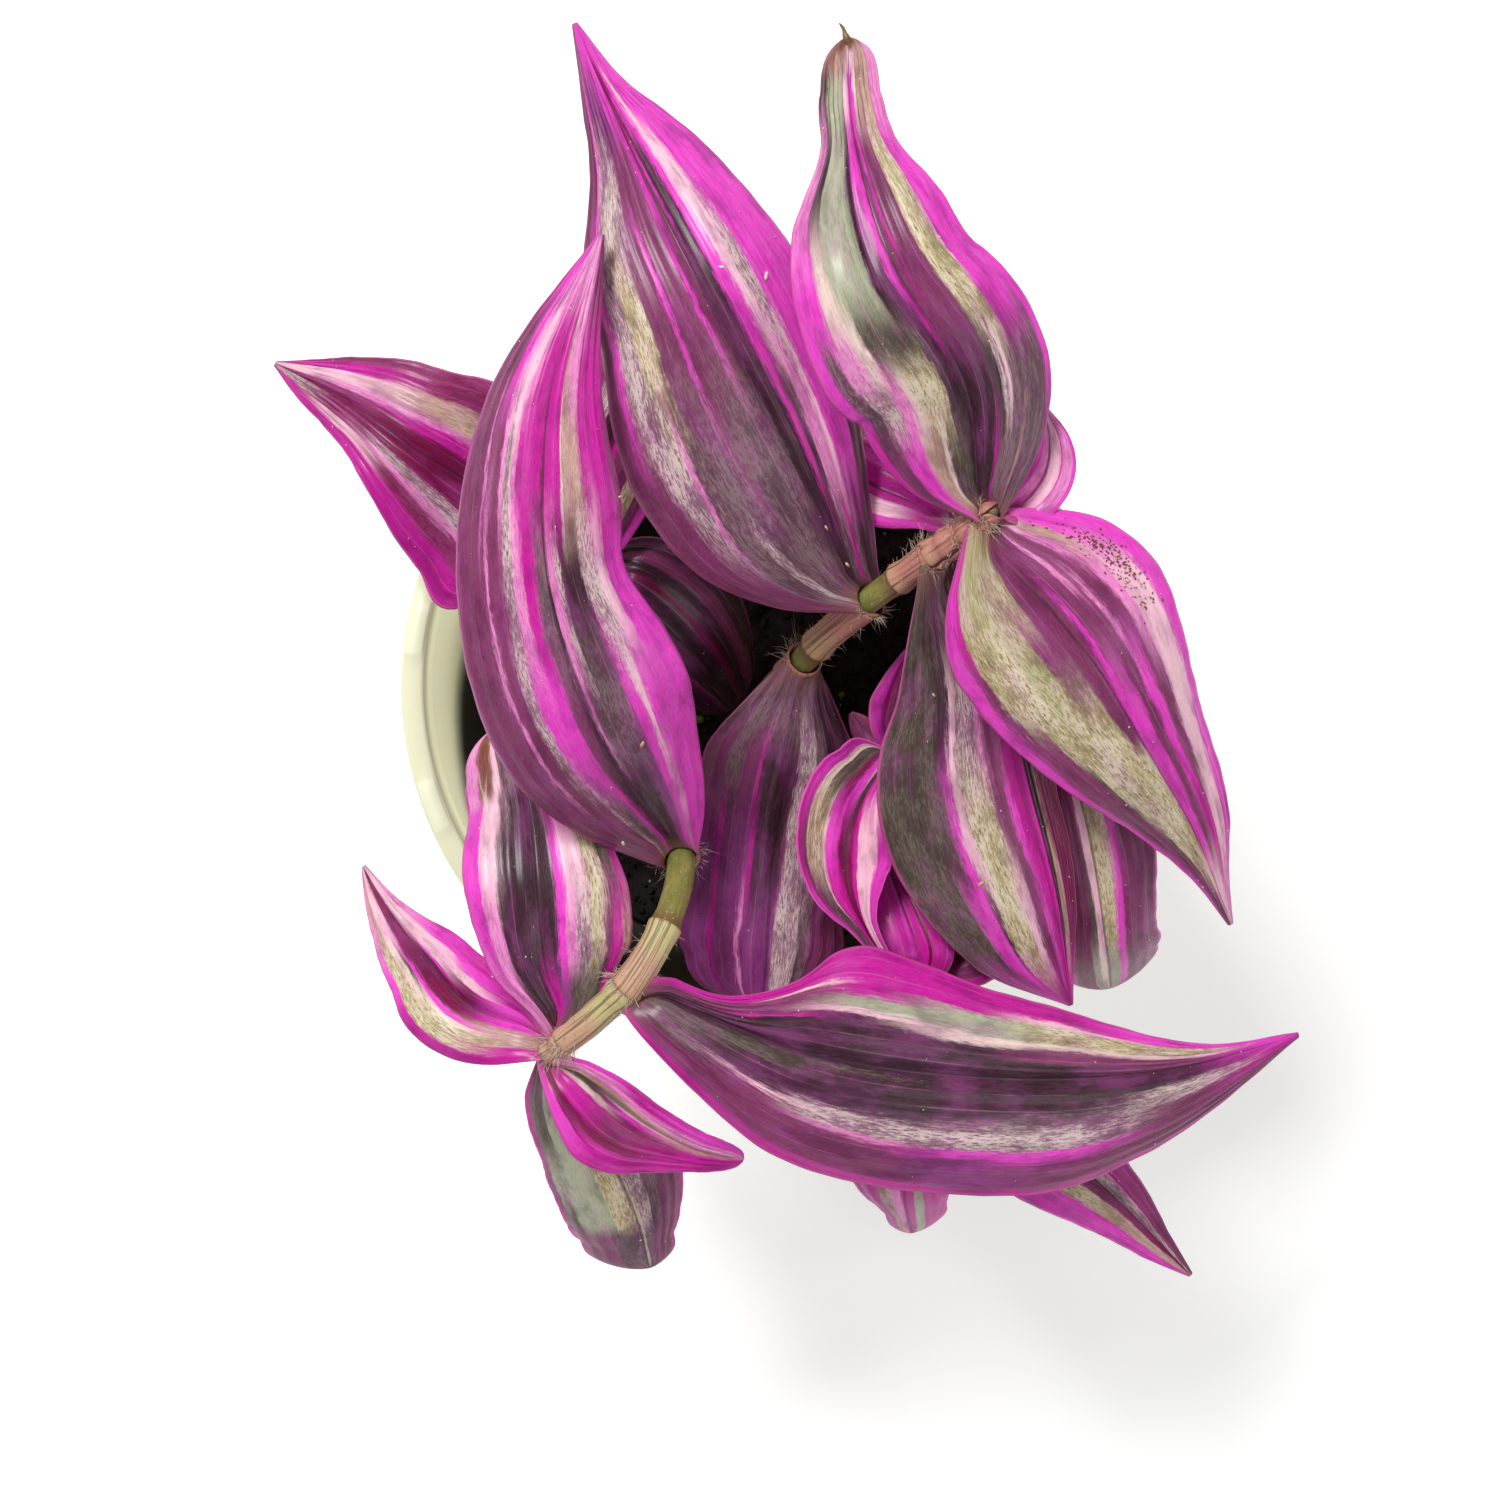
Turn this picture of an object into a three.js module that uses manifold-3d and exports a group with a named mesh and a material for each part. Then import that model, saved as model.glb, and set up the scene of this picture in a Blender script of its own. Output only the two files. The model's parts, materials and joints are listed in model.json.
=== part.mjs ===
// A potted tradescantia: six leafy stems in a round plastic nursery pot of soil.
// Units are millimetres, +Z is up, and the origin is the middle of the pot's foot.
// Every leaf is a thin waved blade on a tubular sheath that clasps its stem.
import * as THREE from 'three';
import { mergeVertices } from 'three/addons/utils/BufferGeometryUtils.js';
import Module from 'manifold-3d';

const wasm = await Module();
wasm.setup();

// ---------------------------------------------------------------- driving dimensions
const GAP = 0.3;                 // clearance between pieces that touch

const POT_HEIGHT = 92;
const RIM_RADIUS = 52.5;         // outside of the lip
const FOOT_RADIUS = 37;
const WALL = 1.3;
const LIP_WIDTH = 3.4;
const LIP_THICK = 1.4;
const COLLAR_HEIGHT = 13;        // the deeper band under the lip
const COLLAR_STEP = 1.6;         // how far the band stands out from the wall
const COLLAR_SLOPE = 1.5;        // height of the slope from the wall out to the band
const LIP_BEVEL = 0.4;
const THROAT_DEPTH = 5;          // depth of the wider throat inside the lip
const THROAT_STEP = 0.5;         // how much wider that throat is
const FLOOR_THICK = 1.6;
const FOOT_LIFT = 2.2;           // the floor stands this far above the foot ring
const FOOT_RING = 5;             // width of the flat ring that the pot stands on
const FOOT_DISC = 12;            // radius of the flat disc in the middle of the foot
const FOOT_BEVEL = 0.8;
const PAD_COUNT = 12;            // raised pads round the lip
const PAD_ANGLE = 8.5;           // degrees that one pad takes
const PAD_HEIGHT = 0.35;
const PAD_START = 20.5;          // degrees from +X to the middle of the first pad
const PAD_INSET = 0.6;           // from the lip's edges to a pad's
const DRAIN_COUNT = 6;
const DRAIN_RADIUS = 3.2;
const DRAIN_CIRCLE = 24;
const DRAIN_SIDES = 16;
const POT_SIDES = 36;

const SOIL_TOP = 46;
const SOIL_CROWN = 2.2;          // how far the middle stands above the edge
const SOIL_LUMP = 0.9;           // height of the lumps
const SOIL_WAVE = [0.31, 0.27];  // the wide lumps' waves along X and Y, radians per mm
const SOIL_SKEW = [-0.4, 0.52];  // the slanting lumps' wave, radians per mm along X and Y
const SOIL_SHIFT = 1.2;          // start of the wide lumps' wave along X, radians
const SKEW_PART = 0.6;           // height of the slanting lumps, as part of the wide ones
const SOIL_RINGS = 5;
const SOIL_SPOKES = 28;

const BLADE_THICK = 0.66;
const TIP_HALF_WIDTH = 0.4;
const TIP_PART = 0.125;          // part of a blade's length that a blunt tip rounds
const TIP_CROWD = 0.5;           // how much closer the rows of a blunt blade stand at its tip
const BASE_SINK = 1.5;           // a blade starts this far below the mouth of its sheath
const CLASP_FOLD = 38;           // extra fold of a blade where it leaves its sheath, degrees
const CLASP_POWER = 10;          // how soon that fold fades along the blade
const BASE_LEAN = -0.2;          // how far the upright of a blade leans to its tip, at its base
const TIP_LEAN = 0.7;            // the same at its tip
const NORMAL_STEP = 0.01;        // step along and across a blade that its normal is taken over
const SHEATH_WALL = 0.6;
const SHEATH_FLARE = 0.5;        // how much wider the mouth of a sheath is
const SHEATH_STEPS = 2;
const TIP_CAP = 1.5;             // length of the cap over a growing tip
const CAP_TAPER = 0.75;          // width of the cap's end, as part of the stem's
const STEM_SIDES = 7;
const STEM_STEP = 5.5;           // length of one ring's stretch of stem
const ROOT_LENGTH = 18;          // upright stretch of stem below its path, in the soil
const NODE_SWELL = 0.35;         // swelling of a stem under each sheath
const NODE_LENGTH = 1.6;

const COLOURS = {
  pot: 0xeeebd5, soil: 0x1c1612, stem: 0x8c8242,
  plum: 0x8a3a80, magenta: 0xc0209f, violet: 0x7b4672, olive: 0x5a4a4a, sage: 0x9aa07c,
};

// ---------------------------------------------------------------- stems
// path: from near the soil to the growing tip; radius: at both of its ends.
const STEMS = {
  a: {
    path: [[0.5, -4, 48], [1, -2.5, 66], [3, 0, 84], [6, 2.5, 99], [10.5, 7, 109.5],
      [16.5, 11.8, 117.5], [22, 15.6, 124], [27, 19, 129.5], [31.5, 22.3, 133.5]],
    radius: [2.3, 1.6],
  },
  b: {
    path: [[-13, -12, 48], [-13.2, -14, 68], [-12.8, -18, 88], [-11.3, -22, 101], [-10.6, -27, 108.5],
      [-12.6, -34, 114], [-17, -41.5, 115.5], [-22.5, -47, 112.5], [-29.5, -52.5, 109]],
    radius: [2.4, 1.7],
  },
  c: {
    path: [[-17, 4, 48], [-18.5, 7, 64], [-21, 11, 79], [-25, 16, 91], [-31, 21, 99.5]],
    radius: [2.0, 1.5],
  },
  d: {
    path: [[22.5, -14, 48], [22.4, -13.5, 62], [22.2, -12.8, 76], [22, -12, 92]],
    radius: [1.9, 1.3],
  },
  e: {
    path: [[19.5, -20, 48], [20, -22.5, 63], [20.5, -27.5, 77], [21.6, -36, 90], [24.2, -47.5, 98.8]],
    radius: [2.0, 1.5],
  },
  f: {
    path: [[35, 3, 48], [35.6, 2.6, 62], [37, 1.5, 76], [39.5, 0, 90], [42.5, -2, 100]],
    radius: [2.0, 1.4],
  },
};

// ---------------------------------------------------------------- leaves
// at: where the sheath starts and where its mouth is, as parts of the stem's length.
// rib: four points of the midrib after the mouth, evenly spaced, the last one the tip.
// left, right: half widths, facing the tip, at each eighth of the length.
// fold: how steeply each half rises from the midrib; bend: how far it turns down by its margin.
// roll: turn about the midrib at the base and the tip; wave: height, number and start of ripples.
// blunt: how round the tip is, from 0 for a drawn out point to 1 for half an ellipse.
const LEAVES = [
  { name: 'leaf_a1', stem: 'a', at: [0.34, 0.41], colour: 'violet', cells: [12, 6],
    rib: [[5.5, -9.5, 100], [3.5, -21.5, 97.5], [2, -34, 96], [1, -47, 95.5]],
    left: [2.2, 6, 9.8, 12, 13, 13, 12, 9], right: [2.2, 6.5, 10.7, 12.5, 12.5, 11.7, 10.5, 8.5],
    fold: [4, 14], bend: [28, 32], roll: [0, 0], wave: [0.7, 2, 0.1] },
  { name: 'leaf_a2', stem: 'a', at: [0.46, 0.61], colour: 'plum', cells: [14, 8],
    rib: [[4.5, 30.5, 131.5], [-6.5, 50.5, 137], [-16.5, 71, 131.5], [-25, 91, 121]],
    left: [3, 17.5, 21.5, 20.5, 16.5, 13.8, 7, 3.5], right: [2.5, 7, 11.5, 13.5, 14, 12.5, 9, 3.2],
    fold: [14, 16], bend: [30, 30], roll: [0, 0], wave: [0.8, 2.5, 0.3] },
  { name: 'leaf_a3', stem: 'a', at: [0.70, 0.80], colour: 'olive', cells: [12, 8],
    rib: [[33, 1.5, 118], [38, -15, 110.5], [43, -31.5, 103.5], [46.5, -47, 94]],
    left: [2.5, 6, 6.5, 6, 5.5, 5, 3.8, 2.2], right: [2.5, 10, 15.2, 19.3, 21, 20, 17, 11.5],
    fold: [12, 14], bend: [26, 26], roll: [-8, -12], wave: [0.7, 2, 0.6] },
  { name: 'leaf_a4', stem: 'a', at: [0.815, 0.838], colour: 'magenta', cells: [8, 4],
    rib: [[22, 24.5, 123.6], [16, 27.5, 121.3], [11, 31.5, 118.5], [6, 36, 115.5]],
    left: [2, 2.2, 4, 5.2, 5.8, 5.5, 4.5, 3], right: [2, 2.2, 4.5, 5.5, 6, 5.5, 4.5, 3],
    fold: [12, 12], bend: [24, 24], roll: [0, 0], wave: [0.3, 2, 0.1], blunt: 0.6 },
  { name: 'leaf_a5', stem: 'a', at: [0.86, 0.912], colour: 'plum', cells: [12, 8],
    rib: [[42.5, 6, 134], [52.5, -8, 127], [61.5, -21, 116], [68.5, -34.5, 104]],
    left: [3, 11.3, 15, 13.5, 11.3, 9, 6.5, 3], right: [3, 14.3, 16.5, 16, 13.3, 9.8, 6, 2.5],
    fold: [14, 14], bend: [30, 32], roll: [0, 0], wave: [0.7, 2.5, 0.2] },
  { name: 'leaf_a6', stem: 'a', at: [0.93, 0.952], colour: 'plum', cells: [12, 8],
    rib: [[27.5, 38, 144], [18, 53, 149], [13, 70, 144.5], [12.3, 85.5, 136]],
    left: [3, 12.5, 15.2, 16.3, 14.3, 12, 6.5, 4.2], right: [2.6, 8.8, 12.2, 13, 11.2, 9.6, 7.2, 4.4],
    fold: [16, 14], bend: [30, 28], roll: [0, 0], wave: [0.8, 3, 0.5], blunt: 0.5 },
  { name: 'leaf_a7', stem: 'a', at: [0.968, 1], colour: 'magenta', cells: [8, 4],
    rib: [[35.9, 23.6, 132.2], [39, 27.3, 133], [39.5, 32, 134.6], [38, 37, 135.4]],
    left: [1.2, 2.2, 3.4, 3.9, 3.9, 3.5, 2.7, 1.6], right: [1.2, 2.6, 3.5, 3.9, 3.9, 3.5, 2.7, 1.6],
    fold: [24, 24], bend: [10, 10], roll: [0, 0], wave: [0.2, 2, 0.1] },
  { name: 'leaf_b1', stem: 'b', at: [0.39, 0.45], colour: 'plum', cells: [14, 8],
    rib: [[-21, -8, 129], [-27.5, 13, 137.5], [-27.5, 36.5, 138.5], [-20.5, 59, 138]],
    left: [3, 9, 12.5, 13, 12, 11, 9.5, 5.5], right: [3, 10.5, 14.5, 14, 10.5, 10.5, 7.5, 4],
    fold: [14, 16], bend: [30, 30], roll: [0, 0], wave: [0.9, 2.5, 0.7] },
  { name: 'leaf_b2', stem: 'b', at: [0.63, 0.775], colour: 'plum', cells: [14, 8],
    rib: [[7.5, -52, 116], [32.5, -56, 111], [57, -56, 104], [80, -51.5, 94]],
    left: [1.5, 3, 12.3, 14.8, 12.5, 10, 5.7, 1.8], right: [4.5, 14.3, 17.7, 18, 18, 17.3, 13.3, 7.3],
    fold: [14, 14], bend: [30, 30], roll: [0, 0], wave: [0.9, 2.5, 0.0] },
  { name: 'leaf_b3', stem: 'b', at: [0.83, 0.915], colour: 'plum', cells: [10, 6],
    rib: [[-30.5, -40, 113.8], [-30.5, -28.5, 114.6], [-32, -17, 110.8], [-36, -6, 105]],
    left: [2.2, 4, 7.5, 9.8, 10.8, 10.8, 9.4, 7.5], right: [2.2, 5.5, 9.4, 12.4, 12.4, 10.5, 8, 5.5],
    fold: [14, 14], bend: [24, 24], roll: [0, 0], wave: [0.4, 2, 0.0], blunt: 0.7 },
  { name: 'leaf_b4', stem: 'b', at: [0.927, 0.942], colour: 'magenta', cells: [8, 4],
    rib: [[-40.5, -46.5, 105.5], [-47.5, -40, 100.5], [-53.5, -33.5, 94], [-58.5, -27, 87]],
    left: [2.2, 6, 8, 8.4, 7, 5.8, 4.3, 2.6], right: [1.8, 2.4, 3.4, 5.2, 5.4, 3.8, 2.3, 1.2],
    fold: [22, 26], bend: [20, 20], roll: [0, 0], wave: [0.4, 2, 0.0] },
  { name: 'leaf_b5', stem: 'b', at: [0.952, 0.966], colour: 'sage', cells: [10, 6],
    rib: [[-24, -63, 100], [-20.5, -71.5, 94], [-17.5, -80, 87.5], [-16, -88, 80]],
    left: [2.2, 4, 7, 9, 10.2, 9.2, 7.3, 4.8], right: [2.2, 7.5, 9.4, 10, 11, 11.2, 11.2, 9.8],
    fold: [10, 10], bend: [24, 30], roll: [0, 0], wave: [0.4, 2, 0.0], blunt: 1 },
  { name: 'leaf_b6', stem: 'b', at: [0.978, 1], colour: 'magenta', cells: [8, 4],
    rib: [[-22.5, -57.5, 109], [-16.2, -62.7, 107.5], [-9, -66.9, 104.5], [-1.8, -69, 100]],
    left: [2, 2.5, 3.2, 3.8, 3.8, 3.6, 3.2, 2.6], right: [2, 6, 8.6, 9.8, 8.6, 5.6, 3.4, 2.4],
    fold: [30, 24], bend: [10, 16], roll: [0, 0], wave: [0.3, 2, 0.0], blunt: 0.5 },
  { name: 'leaf_c1', stem: 'c', at: [0.62, 0.70], colour: 'violet', cells: [8, 4],
    rib: [[-19, 14, 94], [-12.5, 8.5, 92], [-7, 2.5, 87], [-3, -3, 80]],
    left: [2.5, 6, 9.5, 11.5, 12, 11.5, 10, 7.5], right: [2.5, 5, 8, 9.5, 10, 9, 7, 5],
    fold: [10, 10], bend: [24, 24], roll: [0, 0], wave: [0.4, 2, 0.0], blunt: 0.7 },
  { name: 'leaf_c2', stem: 'c', at: [0.87, 1], colour: 'magenta', cells: [10, 6],
    rib: [[-39.5, 27.5, 105.5], [-49.5, 34, 109], [-59.5, 41, 106], [-69.5, 46.5, 101]],
    left: [3, 17, 15.5, 12.8, 9.2, 6.3, 4.7, 3], right: [3, 9.5, 13.8, 14.3, 12.3, 10.3, 6.8, 3.5],
    fold: [16, 20], bend: [22, 22], roll: [0, 0], wave: [0.6, 2, 0.0] },
  { name: 'leaf_c3', stem: 'c', at: [0.74, 0.80], colour: 'violet', cells: [8, 4],
    rib: [[-22.5, 29, 101], [-18, 40, 106.5], [-12.5, 50, 108], [-7.5, 59, 105]],
    left: [2.5, 6, 8.5, 9.5, 9.2, 8, 5.5, 2.8], right: [2.5, 6, 8.5, 9.5, 9.2, 8, 5.5, 2.8],
    fold: [14, 14], bend: [26, 26], roll: [0, 0], wave: [0.6, 2, 0.3] },
  { name: 'leaf_d1', stem: 'd', at: [0.84, 0.89], colour: 'magenta', cells: [8, 4],
    rib: [[19.3, -9.8, 87.5], [17.3, -7.8, 89.5], [15.6, -5.8, 91], [14.2, -4, 91.5]],
    left: [1.8, 2, 2.3, 2.5, 2.5, 2.2, 1.8, 1.2], right: [1.8, 2, 2.3, 2.5, 2.5, 2.2, 1.8, 1.2],
    fold: [20, 20], bend: [10, 10], roll: [0, 0], wave: [0.1, 2, 0.1] },
  { name: 'leaf_d2', stem: 'd', at: [0.94, 1], colour: 'magenta', cells: [8, 4],
    rib: [[20, -6.5, 97.5], [20.5, -2.5, 100.5], [21.5, 2, 102.5], [23.5, 6.5, 104]],
    left: [1.8, 2.2, 3, 3.6, 3.8, 3, 2, 1.2], right: [1.8, 2.2, 3, 3.6, 3.8, 3.4, 2.6, 1.5],
    fold: [20, 20], bend: [12, 12], roll: [0, 0], wave: [0.2, 2, 0.1] },
  { name: 'leaf_e1', stem: 'e', at: [0.76, 0.81], colour: 'magenta', cells: [10, 6],
    rib: [[21.8, -56.5, 96.5], [21.5, -67, 91.5], [22.5, -76.5, 85], [24, -83.5, 75]],
    left: [1.6, 4.5, 7.5, 9, 9, 8.4, 8.4, 8], right: [2, 5, 7.5, 8.5, 9.5, 8.5, 7, 4.5],
    fold: [10, 10], bend: [24, 24], roll: [0, 0], wave: [0.4, 2, 0.2], blunt: 1 },
  { name: 'leaf_e2', stem: 'e', at: [0.84, 0.875], colour: 'magenta', cells: [10, 6],
    rib: [[34, -58, 98.5], [44.5, -68, 94.5], [55.5, -78, 88.5], [66, -89, 81]],
    left: [1.6, 4, 7, 7.8, 7.6, 5.8, 4.2, 2], right: [2, 5.5, 8, 10, 9.8, 7.8, 5.7, 3.5],
    fold: [16, 16], bend: [22, 22], roll: [0, 0], wave: [0.5, 2, 0.2] },
  { name: 'leaf_e3', stem: 'e', at: [0.90, 0.93], colour: 'magenta', cells: [8, 4],
    rib: [[24, -39.5, 99.2], [22.2, -33.5, 98.4], [20, -27.5, 96.4], [18, -22, 93.6]],
    left: [2, 4.5, 5.8, 5.8, 5.5, 4.8, 4, 3], right: [1.8, 3.6, 5, 5, 4, 3, 2, 1],
    fold: [18, 18], bend: [16, 16], roll: [0, 0], wave: [0.3, 2, 0.2] },
  { name: 'leaf_e4', stem: 'e', at: [0.958, 1], colour: 'magenta', cells: [10, 6],
    rib: [[15.8, -35, 101.4], [13.2, -26.5, 101.2], [14.6, -17.5, 101.2], [19.8, -10, 100.7]],
    left: [1.8, 1.5, 2, 5.4, 8.2, 9.2, 8.8, 6.8], right: [1.8, 1.5, 2, 5.6, 8.4, 8.6, 7.4, 5.4],
    fold: [15, 15], bend: [-25, -25], roll: [0, 0], wave: [0.2, 2, 0.0], blunt: 0.9 },
  { name: 'leaf_e5', stem: 'e', at: [0.70, 0.735], colour: 'violet', cells: [8, 4],
    rib: [[29.5, -40, 95.8], [35, -35.5, 96.8], [39.5, -30, 96.8], [43.5, -24, 96.6]],
    left: [2, 4, 5, 5.4, 5.2, 4.5, 3.5, 2], right: [1.6, 3, 4.5, 5.4, 5.2, 4.5, 3.5, 2],
    fold: [12, 12], bend: [20, 20], roll: [0, 0], wave: [0.3, 2, 0.2] },
  { name: 'leaf_f1', stem: 'f', at: [0.80, 0.86], colour: 'plum', cells: [10, 6],
    rib: [[46, -13.5, 102], [49.5, -27, 99.5], [52, -39, 92], [54, -45.5, 80]],
    left: [2.5, 5.5, 8, 9.2, 9.8, 9, 8.6, 8.6], right: [2.5, 3.5, 5, 6, 6.2, 6, 6.2, 6],
    fold: [10, 10], bend: [24, 24], roll: [0, 0], wave: [0.4, 2, 0.2], blunt: 1 },
  { name: 'leaf_f2', stem: 'f', at: [0.92, 1], colour: 'plum', cells: [8, 4],
    rib: [[48, -3.5, 108], [53, -6.5, 111], [58, -10.5, 110.5], [62, -15.5, 107]],
    left: [2.2, 5, 7, 8, 8, 6.5, 4.5, 2.5], right: [2.2, 5, 7, 8, 8, 6.5, 4.5, 2.5],
    fold: [14, 14], bend: [24, 24], roll: [0, 0], wave: [0.4, 2, 0.2] },
];

// ---------------------------------------------------------------- shared shape work
const point = ([x, y, z]) => new THREE.Vector3(x, y, z);
const smoothCurve = (points) => new THREE.CatmullRomCurve3(points, false, 'catmullrom', 0.5);
const radians = THREE.MathUtils.degToRad;
const mix = THREE.MathUtils.lerp;
const MERGE = 1e-4;              // corners closer than this are one

// A geometry from a flat list of coordinates and a flat list of corner numbers.
function geometryFrom(vertices, triangles) {
  const geometry = new THREE.BufferGeometry();
  geometry.setAttribute('position', new THREE.Float32BufferAttribute(vertices, 3));
  geometry.setIndex(triangles);
  return geometry;
}

function toSolid(geometry) {
  const bare = geometry.clone();
  bare.deleteAttribute('normal');
  bare.deleteAttribute('uv');
  const merged = mergeVertices(bare, MERGE);
  const corners = merged.index.array;
  const kept = [];
  for (let i = 0; i < corners.length; i += 3) {
    const [a, b, c] = [corners[i], corners[i + 1], corners[i + 2]];
    if (a !== b && b !== c && c !== a) kept.push(a, b, c);
  }
  return new wasm.Manifold(new wasm.Mesh({
    numProp: 3,
    vertProperties: new Float32Array(merged.attributes.position.array),
    triVerts: new Uint32Array(kept),
  }));
}

function fromSolid(solid) {
  const mesh = solid.getMesh();
  return geometryFrom(mesh.vertProperties, Array.from(mesh.triVerts));
}

// The largest of the separate bodies, so that no loose scrap of a cut is kept.
function largestBody(solid) {
  return solid.decompose().reduce((a, b) => (b.volume() > a.volume() ? b : a));
}

// A closed loft through rings of equal size: sides between rings, then both end caps.
function loft(rings) {
  const sides = rings[0].length;
  const vertices = [];
  const triangles = [];
  rings.forEach((ring) => ring.forEach((p) => vertices.push(p.x, p.y, p.z)));
  for (let i = 0; i + 1 < rings.length; i += 1) {
    for (let j = 0; j < sides; j += 1) {
      const a = i * sides + j;
      const b = i * sides + (j + 1) % sides;
      triangles.push(a, b, b + sides, a, b + sides, a + sides);
    }
  }
  [0, rings.length - 1].forEach((row) => {
    const middle = rings[row].reduce((sum, p) => sum.add(p), new THREE.Vector3()).divideScalar(sides);
    const hub = vertices.length / 3;
    vertices.push(middle.x, middle.y, middle.z);
    for (let j = 0; j < sides; j += 1) {
      const a = row * sides + j;
      const b = row * sides + (j + 1) % sides;
      triangles.push(...(row === 0 ? [b, a, hub] : [a, b, hub]));
    }
  });
  return geometryFrom(vertices, triangles);
}

// ---------------------------------------------------------------- stems
function readyStem(key) {
  const stem = STEMS[key];
  const curve = smoothCurve(stem.path.map(point));
  const heading = curve.getPoint(1).sub(curve.getPoint(0)).setZ(0).normalize();
  const beside = new THREE.Vector3(-heading.y, heading.x, 0);
  const nodes = LEAVES.filter((leaf) => leaf.stem === key).map((leaf) => leaf.at[0]);
  const length = curve.getLength();
  return { curve, beside, nodes, length, steps: Math.round(length / STEM_STEP), ends: stem.radius };
}

function stemRadius(stem, t) {
  const taper = mix(stem.ends[0], stem.ends[1], t);
  const swell = stem.nodes.map((node) => Math.exp(-(((t - node) * stem.length / NODE_LENGTH) ** 2)));
  return taper + NODE_SWELL * Math.max(0, ...swell);
}

// One ring of points round the stem at t, square to it.
function stemRing(stem, t, radius) {
  const centre = stem.curve.getPoint(t);
  const along = stem.curve.getTangent(t);
  const across = new THREE.Vector3().crossVectors(stem.beside, along).normalize();
  const other = new THREE.Vector3().crossVectors(along, across);
  return Array.from({ length: STEM_SIDES }, (_, k) => {
    const angle = (2 * Math.PI * k) / STEM_SIDES;
    return centre.clone().addScaledVector(across, radius * Math.cos(angle))
      .addScaledVector(other, radius * Math.sin(angle));
  });
}

// The rings of a whole stem: one at the foot of its upright root, then those along its path.
function stemRings(stem, growth) {
  const rings = Array.from({ length: stem.steps + 1 }, (_, i) => {
    const t = i / stem.steps;
    return stemRing(stem, t, stemRadius(stem, t) + growth);
  });
  return [rings[0].map((p) => p.clone().setZ(p.z - ROOT_LENGTH)), ...rings];
}

// The stem grown by the clearance and a little longer at both ends.
function stemRoom(stem) {
  const rings = stemRings(stem, GAP);
  const push = (ring, step) => ring.map((p) => p.clone().add(step));
  const down = new THREE.Vector3(0, 0, -GAP);
  const onward = stem.curve.getTangent(1).multiplyScalar(GAP);
  return toSolid(loft([push(rings[0], down), ...rings, push(rings[rings.length - 1], onward)]));
}

// A sheath before it is bored: a tube round the stem that widens to its mouth. The sheath
// of a stem's last leaf closes over the growing tip in a blunt cap.
function sheathSolid(leaf, stem, growth) {
  const slack = growth / stem.length;
  const [from, to] = [leaf.at[0] - slack, Math.min(leaf.at[1] + slack, 1)];
  const rings = Array.from({ length: SHEATH_STEPS + 1 }, (_, i) => {
    const part = i / SHEATH_STEPS;
    const t = mix(from, to, part);
    return stemRing(stem, t, stemRadius(stem, t) + GAP + SHEATH_WALL + SHEATH_FLARE * part + growth);
  });
  if (leaf.at[1] === 1) {
    const beyond = stem.curve.getTangent(1).multiplyScalar(TIP_CAP + growth);
    rings.push(stemRing(stem, 1, stemRadius(stem, 1) * CAP_TAPER + growth).map((p) => p.add(beyond)));
  }
  return toSolid(loft(rings));
}

// What a leaf keeps out of: the stem, and the sheaths of the stem's other leaves.
function roomFor(leaf, stem) {
  const others = LEAVES.filter((other) => other.stem === leaf.stem && other !== leaf);
  return wasm.Manifold.union([stemRoom(stem), ...others.map((other) => sheathSolid(other, stem, GAP))]);
}

// ---------------------------------------------------------------- leaves
function readyLeaf(leaf, stem) {
  const start = leaf.at[1] === 1 ? 1 : leaf.at[1] - BASE_SINK / stem.length;
  const rib = [stem.curve.getPoint(start), ...leaf.rib.map(point)];
  const curve = smoothCurve(rib);
  const widths = smoothCurve([...leaf.left, TIP_HALF_WIDTH]
    .map((left, k) => new THREE.Vector3(left, [...leaf.right, TIP_HALF_WIDTH][k], 0)));
  const heading = rib[4].clone().sub(rib[0]).setZ(0).normalize();
  return { ...leaf, curve, widths, heading };
}

// A point of the blade: u from base to tip, v from the right margin (-1) to the left one (1).
// It lies at distance |v| times the half width from the midrib, in a direction that starts
// at the fold angle and turns down with |v|, and ripples lift it towards the margin. Over its
// last part a blunt blade's half width follows an ellipse.
function bladePoint(leaf, u, v) {
  const along = leaf.curve.getTangent(u);
  const upright = new THREE.Vector3(0, 0, 1).addScaledVector(leaf.heading, mix(BASE_LEAN, TIP_LEAN, u));
  const left = new THREE.Vector3().crossVectors(upright, along).normalize()
    .applyAxisAngle(along, radians(mix(leaf.roll[0], leaf.roll[1], u)));
  const normal = new THREE.Vector3().crossVectors(along, left);
  const side = v < 0 ? 1 : 0;
  const sign = v < 0 ? -1 : 1;
  const out = Math.abs(v);
  const widths = leaf.widths.getPoint(u);
  const drawn = side ? widths.y : widths.x;
  const beyond = Math.max(0, (u - 1 + TIP_PART) / TIP_PART);
  const round = (side ? leaf.right : leaf.left)[7] * Math.sqrt(1 - beyond ** 2);
  const width = beyond > 0 ? mix(drawn, round, leaf.blunt ?? 0) : drawn;
  const reach = out * Math.max(width, TIP_HALF_WIDTH);
  const clasp = CLASP_FOLD * (1 - u) ** CLASP_POWER;
  const lift = radians(leaf.fold[side] + clasp - leaf.bend[side] * out);
  const [height, count, start] = leaf.wave;
  const phase = 2 * Math.PI * (count * u + start) + sign;
  const ripple = height * Math.sin(phase) * out ** 2 * Math.sin(Math.PI * u);
  return leaf.curve.getPoint(u).addScaledVector(left, sign * reach * Math.cos(lift))
    .addScaledVector(normal, reach * Math.sin(lift) + ripple);
}

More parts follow.
